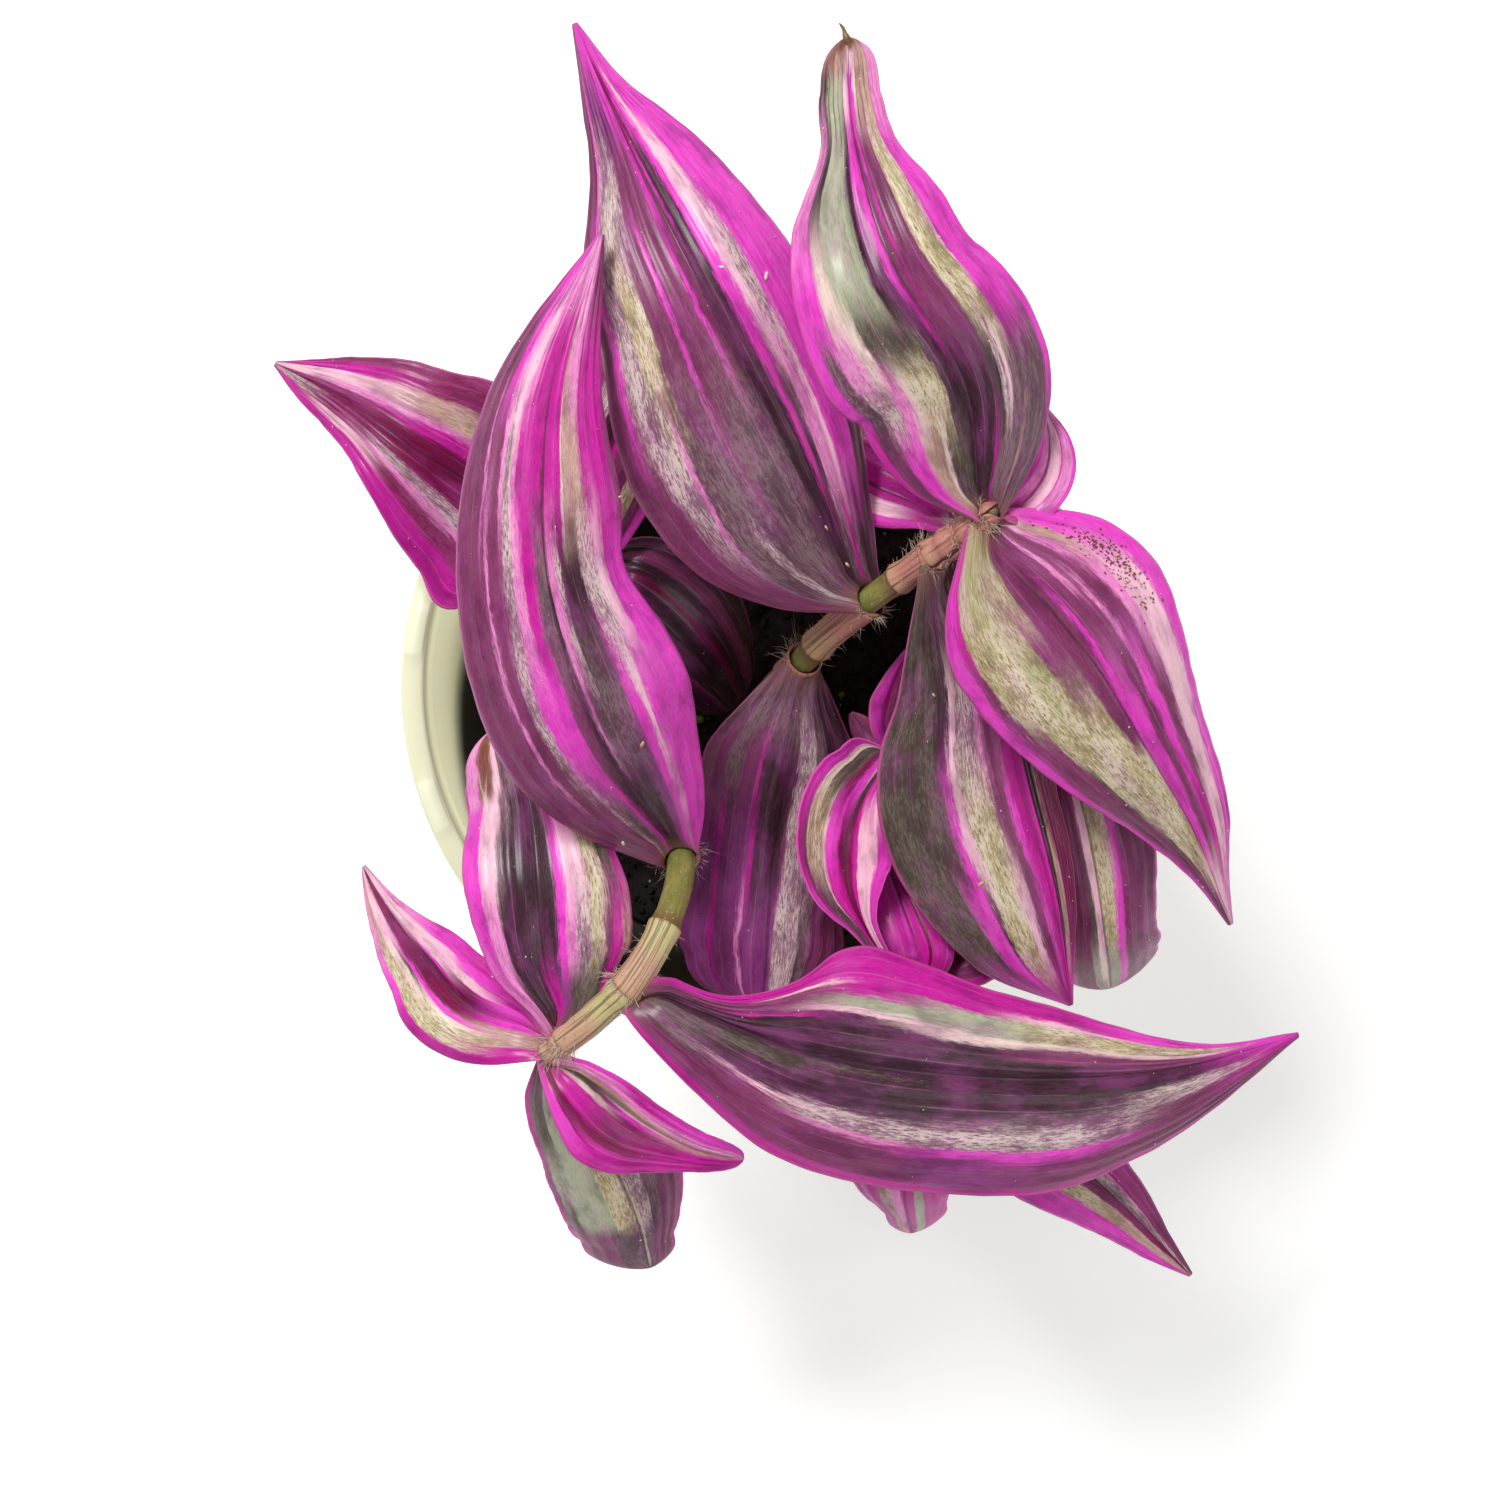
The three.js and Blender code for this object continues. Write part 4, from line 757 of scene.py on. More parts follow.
# ---- finishes
@dataclass(frozen=True)
class LeafTop:
    """The striped upper face of one leaf.

    Attributes:
        wander: how far a stripe wanders across the blade.
        ragged: how ragged its edges are.
        feather: how far its edges run out in fine streaks.
        vein: distance between the veins, millimetres.
        fleck_and_glint: colour of the glitter: the pale flecks of the silver stripes, partly painted glints.
        gap: colour of the dark specks between it, of the dark streaks and clouds, and of the painted shade
            in the midrib's groove.
        bloom: colour of the purple clouds.
        line: colour of the veins.
        base: colour of the blade where it leaves its sheath.
        margin: colour of the thin line round it.
    """

    wander: float = 0.035
    ragged: float = 0.04
    feather: float = 0.055
    vein: float = 2.3
    fleck_and_glint: Triple = seen(252, 238, 224)
    gap: Triple = seen(44, 14, 30)
    bloom: Triple = seen(168, 70, 148)
    line: Triple = seen(206, 124, 170)
    base: Triple = seen(164, 112, 98)
    margin: Triple = seen(212, 84, 160)

    def make(self, plan: LeafPlan) -> Material:
        """Makes the material of one leaf: ramps across the blade, mixed along it.

        Args:
            plan: the table entry of the leaf.

        Returns:
            The material.
        """
        shade = Shade(f"top_{plan.name}", IOR=1.45, Specular_IOR_Level=0.22, Coat_Weight=0.3,
                      Coat_Roughness=0.24)
        along, across, _ = shade.attribute("place").parts()
        grain = shade.attribute("grain")
        distance, sideways, _ = grain.parts()
        slow = shade.noise(grain, (0.05, 0.22, 1), 1.0) - 0.5
        quick = shade.noise(grain, (0.5, 2.2, 1), 3.0, 0.65) - 0.5
        fibre = shade.noise(grain, (0.1, 1.9, 1), 3.0, 0.7) - 0.5
        place = (1 - across) * 0.5 + slow * self.wander + quick * self.ragged + fibre * self.feather
        cuts = plan.cuts()
        ramps = [shade.node("ShaderNodeValToRGB", {"stops": cut.stops()}, {0: place}) for cut in cuts]
        colour, glitter = ramps[0], ramps[0].also("Alpha")
        for before, cut, ramp in zip(cuts, cuts[1:], ramps[1:]):
            part = (along + slow * 0.12).ease(before.u, cut.u)
            colour = shade.mix(part, colour, ramp)
            glitter = glitter + (ramp.also("Alpha") - glitter) * part
        streaks = shade.noise(grain, (0.09, 1.5, 1), 4.0, 0.7)
        cracks = shade.noise(grain, (0.75, 4.6, 1), 3.0, 0.75)
        wash = shade.noise(grain, (0.14, 0.3, 1), 4.0, 0.6)
        tint = shade.noise(grain, (0.1, 0.24, 1.7), 3.0, 0.6)
        lines = (sideways * (2 * np.pi / self.vein)).cosine()
        # Glitter: the pale flecks of the silver stripes, partly painted glints and sheen.
        flecks_and_glints = (cracks * 0.75 + wash * 0.5).ease(0.58, 0.72) * glitter
        # Painted shade: a dark line along the midrib's groove.
        rib = (sideways + slow * 1.2).size().ease(0.45, 0.12) * distance.ease(3, 14)
        colour = shade.layers(
            colour,
            (tint.ease(0.44, 0.7) * 0.34, self.bloom),
            (streaks.ease(0.46, 0.28) * 0.2, self.gap),
            (wash.ease(0.52, 0.32) * 0.34, self.gap),
            (lines.ease(0.955, 0.995) * streaks.ease(0.4, 0.6) * 0.24, self.line),
            (cracks.ease(0.45, 0.34) * glitter * 0.7, self.gap),
            (flecks_and_glints * 0.58, self.fleck_and_glint),
            (rib * 0.6, self.gap),
            (across.size().ease(0.966, 0.99) * 0.65, self.margin),
            ((distance + quick * 4).ease(5.5, 0.5) * 0.75, self.base))
        normal = shade.relief(streaks + cracks * 0.5 + wash * 2.0, 0.00026, 0.7)
        return shade.surface(colour, 0.42 - flecks_and_glints * 0.16 + quick * 0.08, normal)


@dataclass(frozen=True)
class LeafUnder:
    """The purple underside of the leaves, which is the outside of their sheaths.

    Attributes:
        name: the material's name.
        purple: colour of the underside.
        vein: colour of its veins.
        cloud: colour of its dark clouds.
        sheath: colour of the sheaths.
        pale: their colour at the foot.
        stripe: colour of their stripes.
        flush: colour of their pink clouds.
        mouth: colour of their mouths.
    """

    name: str = "leaf_under"
    purple: Triple = seen(128, 34, 98)
    vein: Triple = seen(168, 74, 140)
    cloud: Triple = seen(84, 16, 60)
    sheath: Triple = seen(190, 130, 116)
    pale: Triple = seen(196, 160, 124)
    stripe: Triple = seen(98, 56, 46)
    flush: Triple = seen(196, 120, 128)
    mouth: Triple = seen(146, 104, 72)

    def make(self) -> Material:
        """Makes the material that the leaves of a stem share.

        Returns:
            The material.
        """
        shade = Shade(self.name, IOR=1.4, Specular_IOR_Level=0.3, Coat_Weight=0.08, Coat_Roughness=0.4)
        _, _, sheath = shade.attribute("place").parts()
        grain = shade.attribute("grain")
        distance, _, _ = grain.parts()
        veins = shade.noise(grain, (0.04, 1.8, 1))
        mottle = shade.noise(grain, (0.3, 0.6, 1), 3.0)
        lines = shade.noise(grain, (0.04, 1.1, 3))
        under = shade.layers(
            self.purple,
            (veins.ease(0.5, 0.75) * 0.7, self.vein),
            (mottle.ease(0.55, 0.25) * 0.35, self.cloud))
        tube = shade.layers(
            self.sheath,
            ((distance + mottle * 4).ease(-3, -10), self.pale),
            (lines.ease(0.53, 0.64) * 0.7, self.stripe),
            (mottle.ease(0.5, 0.8) * 0.3, self.flush),
            ((distance + mottle).ease(-0.2, 0.6) * 0.25, self.mouth))
        colour = shade.mix(sheath.ease(0.35, 0.95), under, tube)
        return shade.surface(colour, 0.5 - veins * 0.1, shade.relief(veins + mottle * 0.4, 0.0002, 0.6))


SHEATHS: dict[str, LeafUnder] = {
    "b": LeafUnder("leaf_under_straw", sheath=seen(202, 160, 134), pale=seen(198, 184, 132),
                   stripe=seen(88, 82, 46)),
}


@dataclass(frozen=True)
class StemSkin:
    """The fleshy skin of the stems.

    Attributes:
        green: colour between the nodes.
        olive: colour of its darker clouds.
        line: colour of its lines.
        brown: colour by the nodes, and of the painted shade low in the pot.
        speck: colour of its pale specks.
    """

    green: Triple = seen(138, 132, 72)
    olive: Triple = seen(112, 112, 56)
    line: Triple = seen(160, 140, 96)
    brown: Triple = seen(104, 62, 48)
    speck: Triple = seen(196, 186, 132)

    def make(self) -> Material:
        """Makes the material that all stems share.

        Returns:
            The material.
        """
        shade = Shade("stem_skin", IOR=1.42, Subsurface_Weight=0.08, Coat_Weight=0.1)
        _, _, node = shade.attribute("place").parts()
        grain = shade.attribute("grain")
        mottle = shade.noise(grain, (0.25, 0.8, 1), 4.0, 0.6)
        lines = shade.noise(grain, (0.05, 2.0, 1))
        specks = shade.noise(grain, (1.6, 3.2, 1), 1.0)
        colour = shade.layers(
            self.green,
            (mottle.ease(0.35, 0.7), self.olive),
            (lines.ease(0.55, 0.75) * 0.5, self.line),
            # Brown by the nodes, and painted shade low in the pot.
            (node * 0.85, self.brown),
            (specks.ease(0.66, 0.74) * 0.7, self.speck))
        return shade.surface(colour, 0.46 - mottle * 0.1, shade.relief(lines + mottle * 0.5, 0.0003, 0.6))


@dataclass(frozen=True)
class HairSilk:
    """The pale hairs on sheaths and nodes, a little darker in patches of painted shadow."""

    pale: Triple = seen(228, 208, 186)
    dark: Triple = seen(196, 158, 140)

    def make(self) -> Material:
        """Makes the material that all hairs share.

        Returns:
            The material.
        """
        shade = Shade("hair_silk", IOR=1.5, Sheen_Weight=0.3)
        patch = shade.noise(shade.spot(), (400, 400, 400))
        # Painted shadow: darker patches on the hairs.
        colour = shade.mix(patch.ease(0.4, 0.7) * 0.5, self.pale, self.dark)
        return shade.surface(colour, 0.42 - patch * 0.1)


@dataclass(frozen=True)
class PotPlastic:
    """The pot's cream moulded plastic.

    Attributes:
        cream: its colour.
        cloud: colour of its faint clouds.
        scratch: colour of its fine scratches.
        scuff: colour of the scuffs at its foot.
        pad: its colour on the raised pads, which are polished.
        warm: the colour that it has in the shade of its inside.
        soil_dust_and_shade: colour of the soil dust above the soil, which also paints the shade on the
            inside wall.
        through: how bright the painted glow is, which stands in for light coming through the thin wall on
            the side of the lamp.
        reach: how far red, green and blue light spread in it, as parts of the scale.
    """

    cream: Triple = seen(232, 234, 202)
    cloud: Triple = seen(240, 234, 206)
    scratch: Triple = seen(214, 208, 184)
    scuff: Triple = seen(186, 176, 148)
    # pad: its colour on the raised pads, which are polished; it is paler, a painted highlight on their tops.
    pad: Triple = seen(244, 250, 218)
    warm: Triple = seen(228, 230, 192)
    soil_dust_and_shade: Triple = seen(40, 35, 32)
    through: float = 0.62
    reach: Triple = (1.0, 0.85, 0.6)

    def make(self) -> Material:
        """Makes the material: faint flow marks, scuffs at the foot, soil dust and painted shade inside.

        Returns:
            The material.
        """
        shade = Shade("pot_plastic", IOR=1.49, Subsurface_Weight=0.5, Subsurface_Scale=0.0018,
                      Coat_Weight=0.1)
        at = shade.spot()
        sideways, forward, _ = at.parts()
        inside, _, height = shade.attribute("place").parts()
        cloud = shade.noise(at, (30, 30, 12), 3.0)
        fine = shade.noise(at, (900, 900, 900))
        scratch = shade.noise(at, (250, 250, 2600), 3.0, 0.7)
        circles = shade.node("ShaderNodeMath", {"operation": "SINE"}, {0: height * 2.4})
        # Soil dust and painted shade: the inside wall darkens low down, and more so towards the -X and -Y
        # sides, where it lies in shade.
        dust_and_painted_shade = (height + cloud * 9 + sideways * 180 + forward * 530).ease(70.5, 61) * inside
        foot = (height + cloud * 4).ease(4.5, 1.0) * (1 - inside)
        colour = shade.layers(
            self.cream,
            (cloud.ease(0.35, 0.75) * 0.3, self.cloud),
            (scratch.ease(0.66, 0.8) * 0.25, self.scratch),
            (inside * 0.8, self.warm),
            (inside * circles.ease(0.75, 0.98) * 0.3, self.cream),
            (dust_and_painted_shade * 0.95, self.soil_dust_and_shade),
            # Painted highlight: the tops of the raised pads are paler.
            (height.ease(92.1, 92.3), self.pad),
            (foot * 0.3, self.scuff))
        # Painted glow: the upper inside wall on the lamp's side emits light, which stands in for lamp light
        # coming through the thin wall.
        lit = inside * height.ease(60, 86) * (sideways - forward * 0.5).ease(-0.012, -0.042) * (1 - dust_and_painted_shade)
        painted_glow = shade.mix(lit * self.through, (0, 0, 0), self.warm)
        shade.finish({"Subsurface Radius": self.reach, "Emission Color": painted_glow, "Emission Strength": 1.0})
        normal = shade.relief(fine + scratch * 0.6, 0.00004, 0.5)
        return shade.surface(colour, 0.36 + cloud * 0.1 + dust_and_painted_shade * 0.35, normal)


@dataclass(frozen=True)
class SoilGround:
    """Moist potting soil: the heap and its crumbs.

    Attributes:
        black: the wet dark colour.
        brown: the drier one.
        fibre: colour of its fibres.
        pale: colour of its few pale grains.
        moss: colour of its few green specks.
    """

    black: Triple = seen(9, 7, 7)
    brown: Triple = seen(31, 21, 16)
    fibre: Triple = seen(84, 62, 42)
    pale: Triple = seen(176, 162, 138)
    moss: Triple = seen(96, 116, 34)

    def make(self) -> Material:
        """Makes the material: each point carries how dry, how pale and how green it is.

        Returns:
            The material.
        """
        shade = Shade("potting_soil", IOR=1.35)
        at = shade.spot()
        dry, pale, green = shade.attribute("place").parts()
        lump = shade.noise(at, (420, 420, 420), 5.0, 0.7)
        fibre = shade.noise(at, (2200, 900, 1600))
        colour = shade.layers(
            self.black,
            ((lump * 0.7 + dry * 0.6).ease(0.4, 0.95), self.brown),
            (fibre.ease(0.7, 0.8) * 0.35, self.fibre),
            (pale * (0.6 + lump * 0.4), self.pale),
            (green, self.moss))
        return shade.surface(colour, 0.9 - lump * 0.25, shade.relief(lump + fibre * 0.4, 0.0006, 0.8))


@dataclass(frozen=True)
class DustFlake:
    """Specks of dust, chaff and scurf on the leaves."""

    chaff: Triple = seen(206, 170, 116)
    white: Triple = seen(240, 232, 226)
    bran: Triple = seen(150, 104, 60)
    scurf: Triple = seen(122, 62, 60)

    def make(self) -> Material:
        """Makes the material: each flake carries its shade from chaff to white, and scurf is dark.

        Returns:
            The material.
        """
        shade = Shade("dust_flake", IOR=1.4)
        pale, dark, _ = shade.attribute("place").parts()
        patch = shade.noise(shade.spot(), (3000, 3000, 3000))
        colour = shade.layers(
            self.chaff,
            (pale, self.white),
            (patch.ease(0.5, 0.7) * 0.5, self.bran),
            (dark, self.scurf))
        return shade.surface(colour, 0.6 + patch * 0.2)


# ---- pieces
@dataclass
class Form:
    """A mesh in the making: points in millimetres, faces of one size, and what points carry.

    Attributes:
        points: the points.
        faces: their numbers, face by face.
        place: three values a point for the finish to read.
        grain: a second three.
        slots: number of each face's material.
    """

    points: Array
    faces: Array
    place: Array | None = None
    grain: Array | None = None
    slots: Array | None = None

    def __post_init__(self) -> None:
        """Takes points and values in grids of any shape."""
        self.points = self.points.reshape(-1, 3)
        self.place = None if self.place is None else self.place.reshape(-1, 3)
        self.grain = None if self.grain is None else self.grain.reshape(-1, 3)

    @staticmethod
    def joined(forms: Sequence["Form"]) -> "Form":
        """Several forms with faces of one size as one, with the values of the points.

        Args:
            forms: the forms.

        Returns:
            All of them as one form.
        """
        starts = np.cumsum([0, *(len(form.points) for form in forms)])
        faces = np.concatenate([form.faces + start for form, start in zip(forms, starts)])
        points = np.concatenate([form.points for form in forms])
        place = np.concatenate([form.place for form in forms])
        return Form(points, faces, place)

    def piece(self, name: str, finishes: Sequence[Material], slot: str, weld: bool = False
              ) -> Object:
        """Makes the object, at the origin with its place in its mesh, riding on the part.

        Args:
            name: the object's name.
            finishes: its materials.
            slot: the record's material slot; not used.
            weld: whether points that meet become one, which closes poles.

        Returns:
            The object.
        """
        mesh = bpy.data.meshes.new(name)
        size = self.faces.shape[1]
        mesh.vertices.add(len(self.points))
        mesh.vertices.foreach_set("co", (self.points * MM).astype(np.float32).ravel())
        mesh.loops.add(self.faces.size)
        mesh.loops.foreach_set("vertex_index", self.faces.astype(np.int32).ravel())
        mesh.polygons.add(len(self.faces))
        mesh.polygons.foreach_set("loop_start", np.arange(0, self.faces.size, size, dtype=np.int32))
        if self.slots is not None:
            mesh.polygons.foreach_set("material_index", self.slots.astype(np.int32))
        for key, values in (("place", self.place), ("grain", self.grain)):
            if values is not None:
                layer = mesh.attributes.new(key, "FLOAT_VECTOR", "POINT")
                layer.data.foreach_set("vector", values.astype(np.float32).ravel())
        mesh.update(calc_edges=True)
        mesh.validate()
        for material in finishes:
            mesh.materials.append(material)
        piece = bpy.data.objects.new(name, mesh)
        bpy.context.scene.collection.objects.link(piece)
        if weld:
            self._weld(mesh)
        mesh.shade_smooth()
        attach(piece, BODY)
        LOG.info("%s: %d faces", name, len(mesh.polygons))
        return piece

    @staticmethod
    def _weld(mesh: bpy.types.Mesh) -> None:
        """Merges points that meet, so that poles and seams are closed.

        Args:
            mesh: the mesh.
        """
        work = bmesh.new()
        work.from_mesh(mesh)
        bmesh.ops.remove_doubles(work, verts=work.verts, dist=2e-6)
        work.to_mesh(mesh)
        work.free()


@dataclass
class Stem:
    """One stem: a ridged fleshy tube that swells at each node and ends in a bud.

    Attributes:
        key: its letter.
        plan: its path and radii.
        sides: points round it.
        row: distance between its rings.
        ridges: number of ridges round it.
        ridge: their height, as a part of the radius.
        root_length: how far it goes on down below its path.
        node_swell: how far a node bulges.
        node_length: how far the bulge reaches along the stem.
        bud_length: length of the bud at its tip.
        bud_rows: rings of the bud.
        bud_power: how blunt the bud is.
        tip_taper: how much slimmer its last tenth gets.
        brown_reach: how far the brown by a node reaches.
        shady: heights between which it turns brown in the pot, as painted shade.
    """

    key: str
    plan: StemPlan
    sides: int = 28
    row: float = 0.8
    ridges: int = 9
    ridge: float = 0.03
    root_length: float = 18
    node_swell: float = 0.35
    node_length: float = 1.6
    bud_length: float = 1.4
    bud_rows: int = 8
    bud_power: float = 1.6
    tip_taper: float = 0.35
    brown_reach: float = 2.0
    shady: Pair = (84, 58)

    def __post_init__(self) -> None:
        """Works out the stem's length and nodes."""
        self.path = np.array(self.plan.path, float)
        self.length = curve_length(self.path)
        self.leaves = [leaf for leaf in LEAVES if leaf.stem == self.key]
        self.nodes = np.array([leaf.at[0] for leaf in self.leaves])

    def radius(self, t: Array) -> Array:
        """Radius at t: an even taper, a bell of swelling at each node, and a slimmer tip."""
        taper = self.plan.radius[0] + (self.plan.radius[1] - self.plan.radius[0]) * t
        plain = taper + self.node_swell * self.nearness(t, self.node_length) * ease(1.0, 0.9, t)
        return plain * (1 - self.tip_taper * ease(0.9, 1.0, t))

    def nearness(self, t: Array, reach: float) -> Array:
        """How near a node is: 1 on it, and a bell of that reach in millimetres round it."""
        apart = (np.asarray(t)[..., None] - self.nodes) * self.length / reach
        return np.exp(-(apart**2)).max(-1)

    def frame(self, t: Array, towards: Array) -> tuple[Array, Array, Array]:
        """Centre, and two directions square to the stem, the first one nearest to towards."""
        along = heading(self.path, t)
        out = unit(towards - (towards * along).sum(-1, keepdims=True) * along)
        return smooth_curve(self.path, t), out, np.cross(along, out)

    def build(self, skin: Material) -> Object:
        """Makes the stem's piece: an upright root, rings along its path, and a closed bud.

        A point is centre + radius x ridge x (out cos a + beside sin a), where the ridge is
        1 + 0.03 cos 9a. At a part x of the bud the radius is its first one times the root of
        1 - x^1.6.

        Args:
            skin: its finish.

        Returns:
            The object.
        """
        rows = int(self.length / self.row)
        t = np.linspace(0, 1, rows)
        angle = np.linspace(0, 2 * np.pi, self.sides, endpoint=False)
        centre, out, beside = self.frame(t, np.array([1.0, 0.3, 0.1]))
        rise = np.linspace(0, 1, self.bud_rows + 1)[1:]
        tip = centre[-1] + heading(self.path, np.array(1.0)) * (rise[:, None] * self.bud_length)
        centre = np.concatenate([centre, tip])
        out, beside = (np.concatenate([a, np.repeat(a[-1:], self.bud_rows, 0)]) for a in (out, beside))
        bud = self.radius(np.array(1.0)) * np.sqrt(1 - rise**self.bud_power)
        radius = np.concatenate([self.radius(t), bud])
        ridge = 1 + self.ridge * np.cos(self.ridges * angle)
        ring = rings(out[:, None], beside[:, None], angle)
        points = centre[:, None] + ring * (radius[:, None] * ridge)[..., None]
        root = points[:1] - np.array([0, 0, self.root_length])
        points = np.concatenate([0 * root + root.mean(1, keepdims=True), root, points])
        along = np.concatenate([t * self.length, self.length + rise * self.bud_length])
        along = np.concatenate([[-self.root_length] * 2, along])
        near = np.concatenate([[0, 0], self.nearness(t, self.brown_reach), np.ones(self.bud_rows)])
        # How brown the skin is: near a node, and as painted shade low in the pot.
        dark = np.maximum(near * 0.8, ease(*self.shady, points[:, 0, 2]) * 0.7)
        place = stacked(along[:, None], angle, dark[:, None])
        grain = stacked(along[:, None], 2 * np.cos(angle), 2 * np.sin(angle))
        faces = grid_faces(len(points), self.sides, closed=True)[:, ::-1]
        form = Form(points, faces, place, grain)
        piece = form.piece(f"stem_skin_{self.key}", [skin], "stem", weld=True)
        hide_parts(f"stem_{self.key}")
        return piece


@dataclass
class Leaf:
    """One leaf: a tubular sheath round the stem that opens out into the striped blade.

    Attributes:
        plan: its table entry.
        stem: the stem that it clasps.
        seed: number that sets its own pattern.
        base_sink: how far before the mouth the midrib starts in the stem.
        tip_width: half width of the very tip.
        clasp_fold: how much steeper the halves stand at the base, degrees.
        clasp_power: how soon that dies away.
        base_lean: how the blade leans back at its base.
        tip_lean: how it leans forward at its tip.
        tip_part: the last part, which a blunt tip rounds.
        underside: how much of its underside the base shows.
        sheath_root: gap of the sheath to the stem.
        sheath_rise: length over which it lifts off.
        sheath_gap: how far it lifts off there.
        sheath_flare: how far it widens by its mouth.
        sheath_wrap: part of the way round that it goes.
        sheath_thin: how much thinner it is than the blade.
        nest: distance of nodes below which a sheath starts in the one before.
        nest_sink: how deep it starts there.
        opening: length over which the sheath opens out.
        opening_part: the same at most, as a part of the leaf.
        onward: how far the sheath's form is carried on along the stem.
        thick: thickness.
        edge_thin: how much thinner the margins are.
        rib_depth: depth of the groove of the midrib.
        rib_width: its width.
        ruffle: height of the fine ripple of the margins.
        pleat: height of the pleats.
        pleat_width: their width.
        grain_shift: how far apart the patterns of two leaves lie.
        row_step: distance between rows, and row_limits: the fewest and the most.
        column_step: distance between columns, and column_limits: the fewest and the most a half.
        tube_step: distance between the sheath's rows, and tube_limits: the fewest and the most.
    """

    plan: LeafPlan
    stem: Stem
    seed: int
    base_sink: float = 1.5
    tip_width: float = 0.4
    clasp_fold: float = 38
    clasp_power: float = 10
    base_lean: float = -0.2
    tip_lean: float = 0.7
    tip_part: float = 0.125
    underside: float = 0.35
    sheath_root: float = 0.1
    sheath_rise: float = 1.8
    sheath_gap: float = 0.12
    sheath_flare: float = 0.42
    sheath_wrap: float = 0.985
    sheath_thin: float = 0.62
    nest: float = 3.2
    nest_sink: float = 1.4
    opening: float = 5.5
    opening_part: float = 0.22
    onward: float = 0.6
    thick: float = 0.5
    edge_thin: float = 0.55
    rib_depth: float = 0.45
    rib_width: float = 0.8
    ruffle: float = 0.035
    pleat: float = 0.09
    pleat_width: float = 2.3
    grain_shift: float = 7.3
    row_step: float = 0.75
    row_limits: tuple[int, int] = (44, 128)
    column_step: float = 0.46
    column_limits: tuple[int, int] = (10, 38)
    tube_step: float = 0.5
    tube_limits: tuple[int, int] = (5, 30)

    def __post_init__(self) -> None:
        """Works out the midrib, the widths and the number of rows and columns."""
        plan, stem = self.plan, self.stem
        start = plan.at[1] if plan.at[1] == 1 else plan.at[1] - self.base_sink / stem.length
        self.rib = np.vstack([smooth_curve(stem.path, np.array([start])), np.array(plan.rib, float)])
        ends = (self.tip_width,)
        self.widths = np.array([plan.left + ends, plan.right + ends], float).T
        flat = self.rib[-1] - self.rib[0]
        flat[2] = 0
        self.flat = unit(flat)
        self.length = curve_length(self.rib)
        self.widest = float(self.widths.max())
        self.rows = int(np.clip(self.length / self.row_step, *self.row_limits))
        self.columns = 2 * int(np.clip(self.widest / self.column_step, *self.column_limits)) + 1
        older = [leaf.at[1] for leaf in stem.leaves if leaf.at[1] <= plan.at[0]]
        apart = (plan.at[0] - max(older, default=-1.0)) * stem.length
        self.foot = max(older) - self.nest_sink / stem.length if apart < self.nest else plan.at[0]

    def blade(self, u: Array, v: Array) -> Array:
        """Points of the blade's middle surface, u from base to tip, v from -1 right to 1 left.

        A point lies at |v| times the half width from the midrib, in a direction that starts
        at the fold angle and turns down with |v|, and ripples lift it towards the margin.
        Over its last part a blunt blade's half width w of the last one a follows
        (w / a)^2 = 1 - x^4, with x from 0 to 1.

        Args:
            u: parts of the way from base to tip.
            v: -1 at the right margin to 1 at the left.

        Returns:
            The points.
        """
        plan = self.plan
        u, v = np.broadcast_arrays(u, v)
        along = heading(self.rib, u)
        lean = self.base_lean + (self.tip_lean - self.base_lean) * u
        left = unit(np.cross(np.array([0, 0, 1.0]) + lean[..., None] * self.flat, along))
        roll = np.radians(plan.roll[0] + (plan.roll[1] - plan.roll[0]) * u)[..., None]
        left = left * np.cos(roll) + np.cross(along, left) * np.sin(roll)
        normal = np.cross(along, left)
        is_right = v < 0
        sign = np.where(is_right, -1.0, 1.0)
        widths = smooth_curve(self.widths, u)
        wide = np.where(is_right, widths[..., 1], widths[..., 0])
        beyond = np.clip((u - 1 + self.tip_part) / self.tip_part, 0, 1)
        last = np.where(is_right, plan.right[-1], plan.left[-1])
        rounded = last * np.sqrt(1 - beyond**4)
        wide = np.where(beyond > 0, wide + (rounded - wide) * plan.blunt, wide)
        reach = np.abs(v) * np.maximum(wide, self.tip_width)
        clasp = self.clasp_fold * (1 - u) ** self.clasp_power
        fold = np.where(is_right, plan.fold[1], plan.fold[0]) + clasp
        lift = np.radians(fold - np.where(is_right, plan.bend[1], plan.bend[0]) * np.abs(v))
        height, count, start = plan.wave
        ripple = height * np.sin(2 * np.pi * (count * u + start) + sign) * v**2 * np.sin(np.pi * u)
        side = left * (sign * reach * np.cos(lift))[..., None]
        return smooth_curve(self.rib, u) + side + normal * (reach * np.sin(lift) + ripple)[..., None]

    def around(self, t: Array, v: Array, growth: float = 0.0) -> Array:
        """Points of the sheath: a tube that rises off the stem and widens to its mouth.

        The midrib runs where the leaf leaves the stem.

        Args:
            t: places along the stem.
            v: -1 to 1 round it.
            growth: how far it has widened to its mouth.

        Returns:
            The points.
        """
        centre, out, beside = self.stem.frame(t, self.away())
        part = np.clip((t - self.foot) / (self.plan.at[1] - self.foot), 0, 1)
        risen = ease(0, self.sheath_rise, (t - self.foot) * self.stem.length)
        wider = self.sheath_root + self.sheath_gap * risen + self.sheath_flare * part**2
        radius = self.stem.radius(t) + wider + growth
        angle = v * np.pi * self.sheath_wrap
        return centre + rings(out, beside, angle) * radius[..., None]

    def away(self) -> Array:
        """The way that the leaf leaves its stem, with a little of its underside.

        Returns:
            A unit direction.
        """
        start = np.array(0.0)
        along = heading(self.rib, start)
        left = unit(np.cross(np.array([0, 0, 1.0]) + self.base_lean * self.flat, along))
        return along - self.underside * np.cross(along, left)

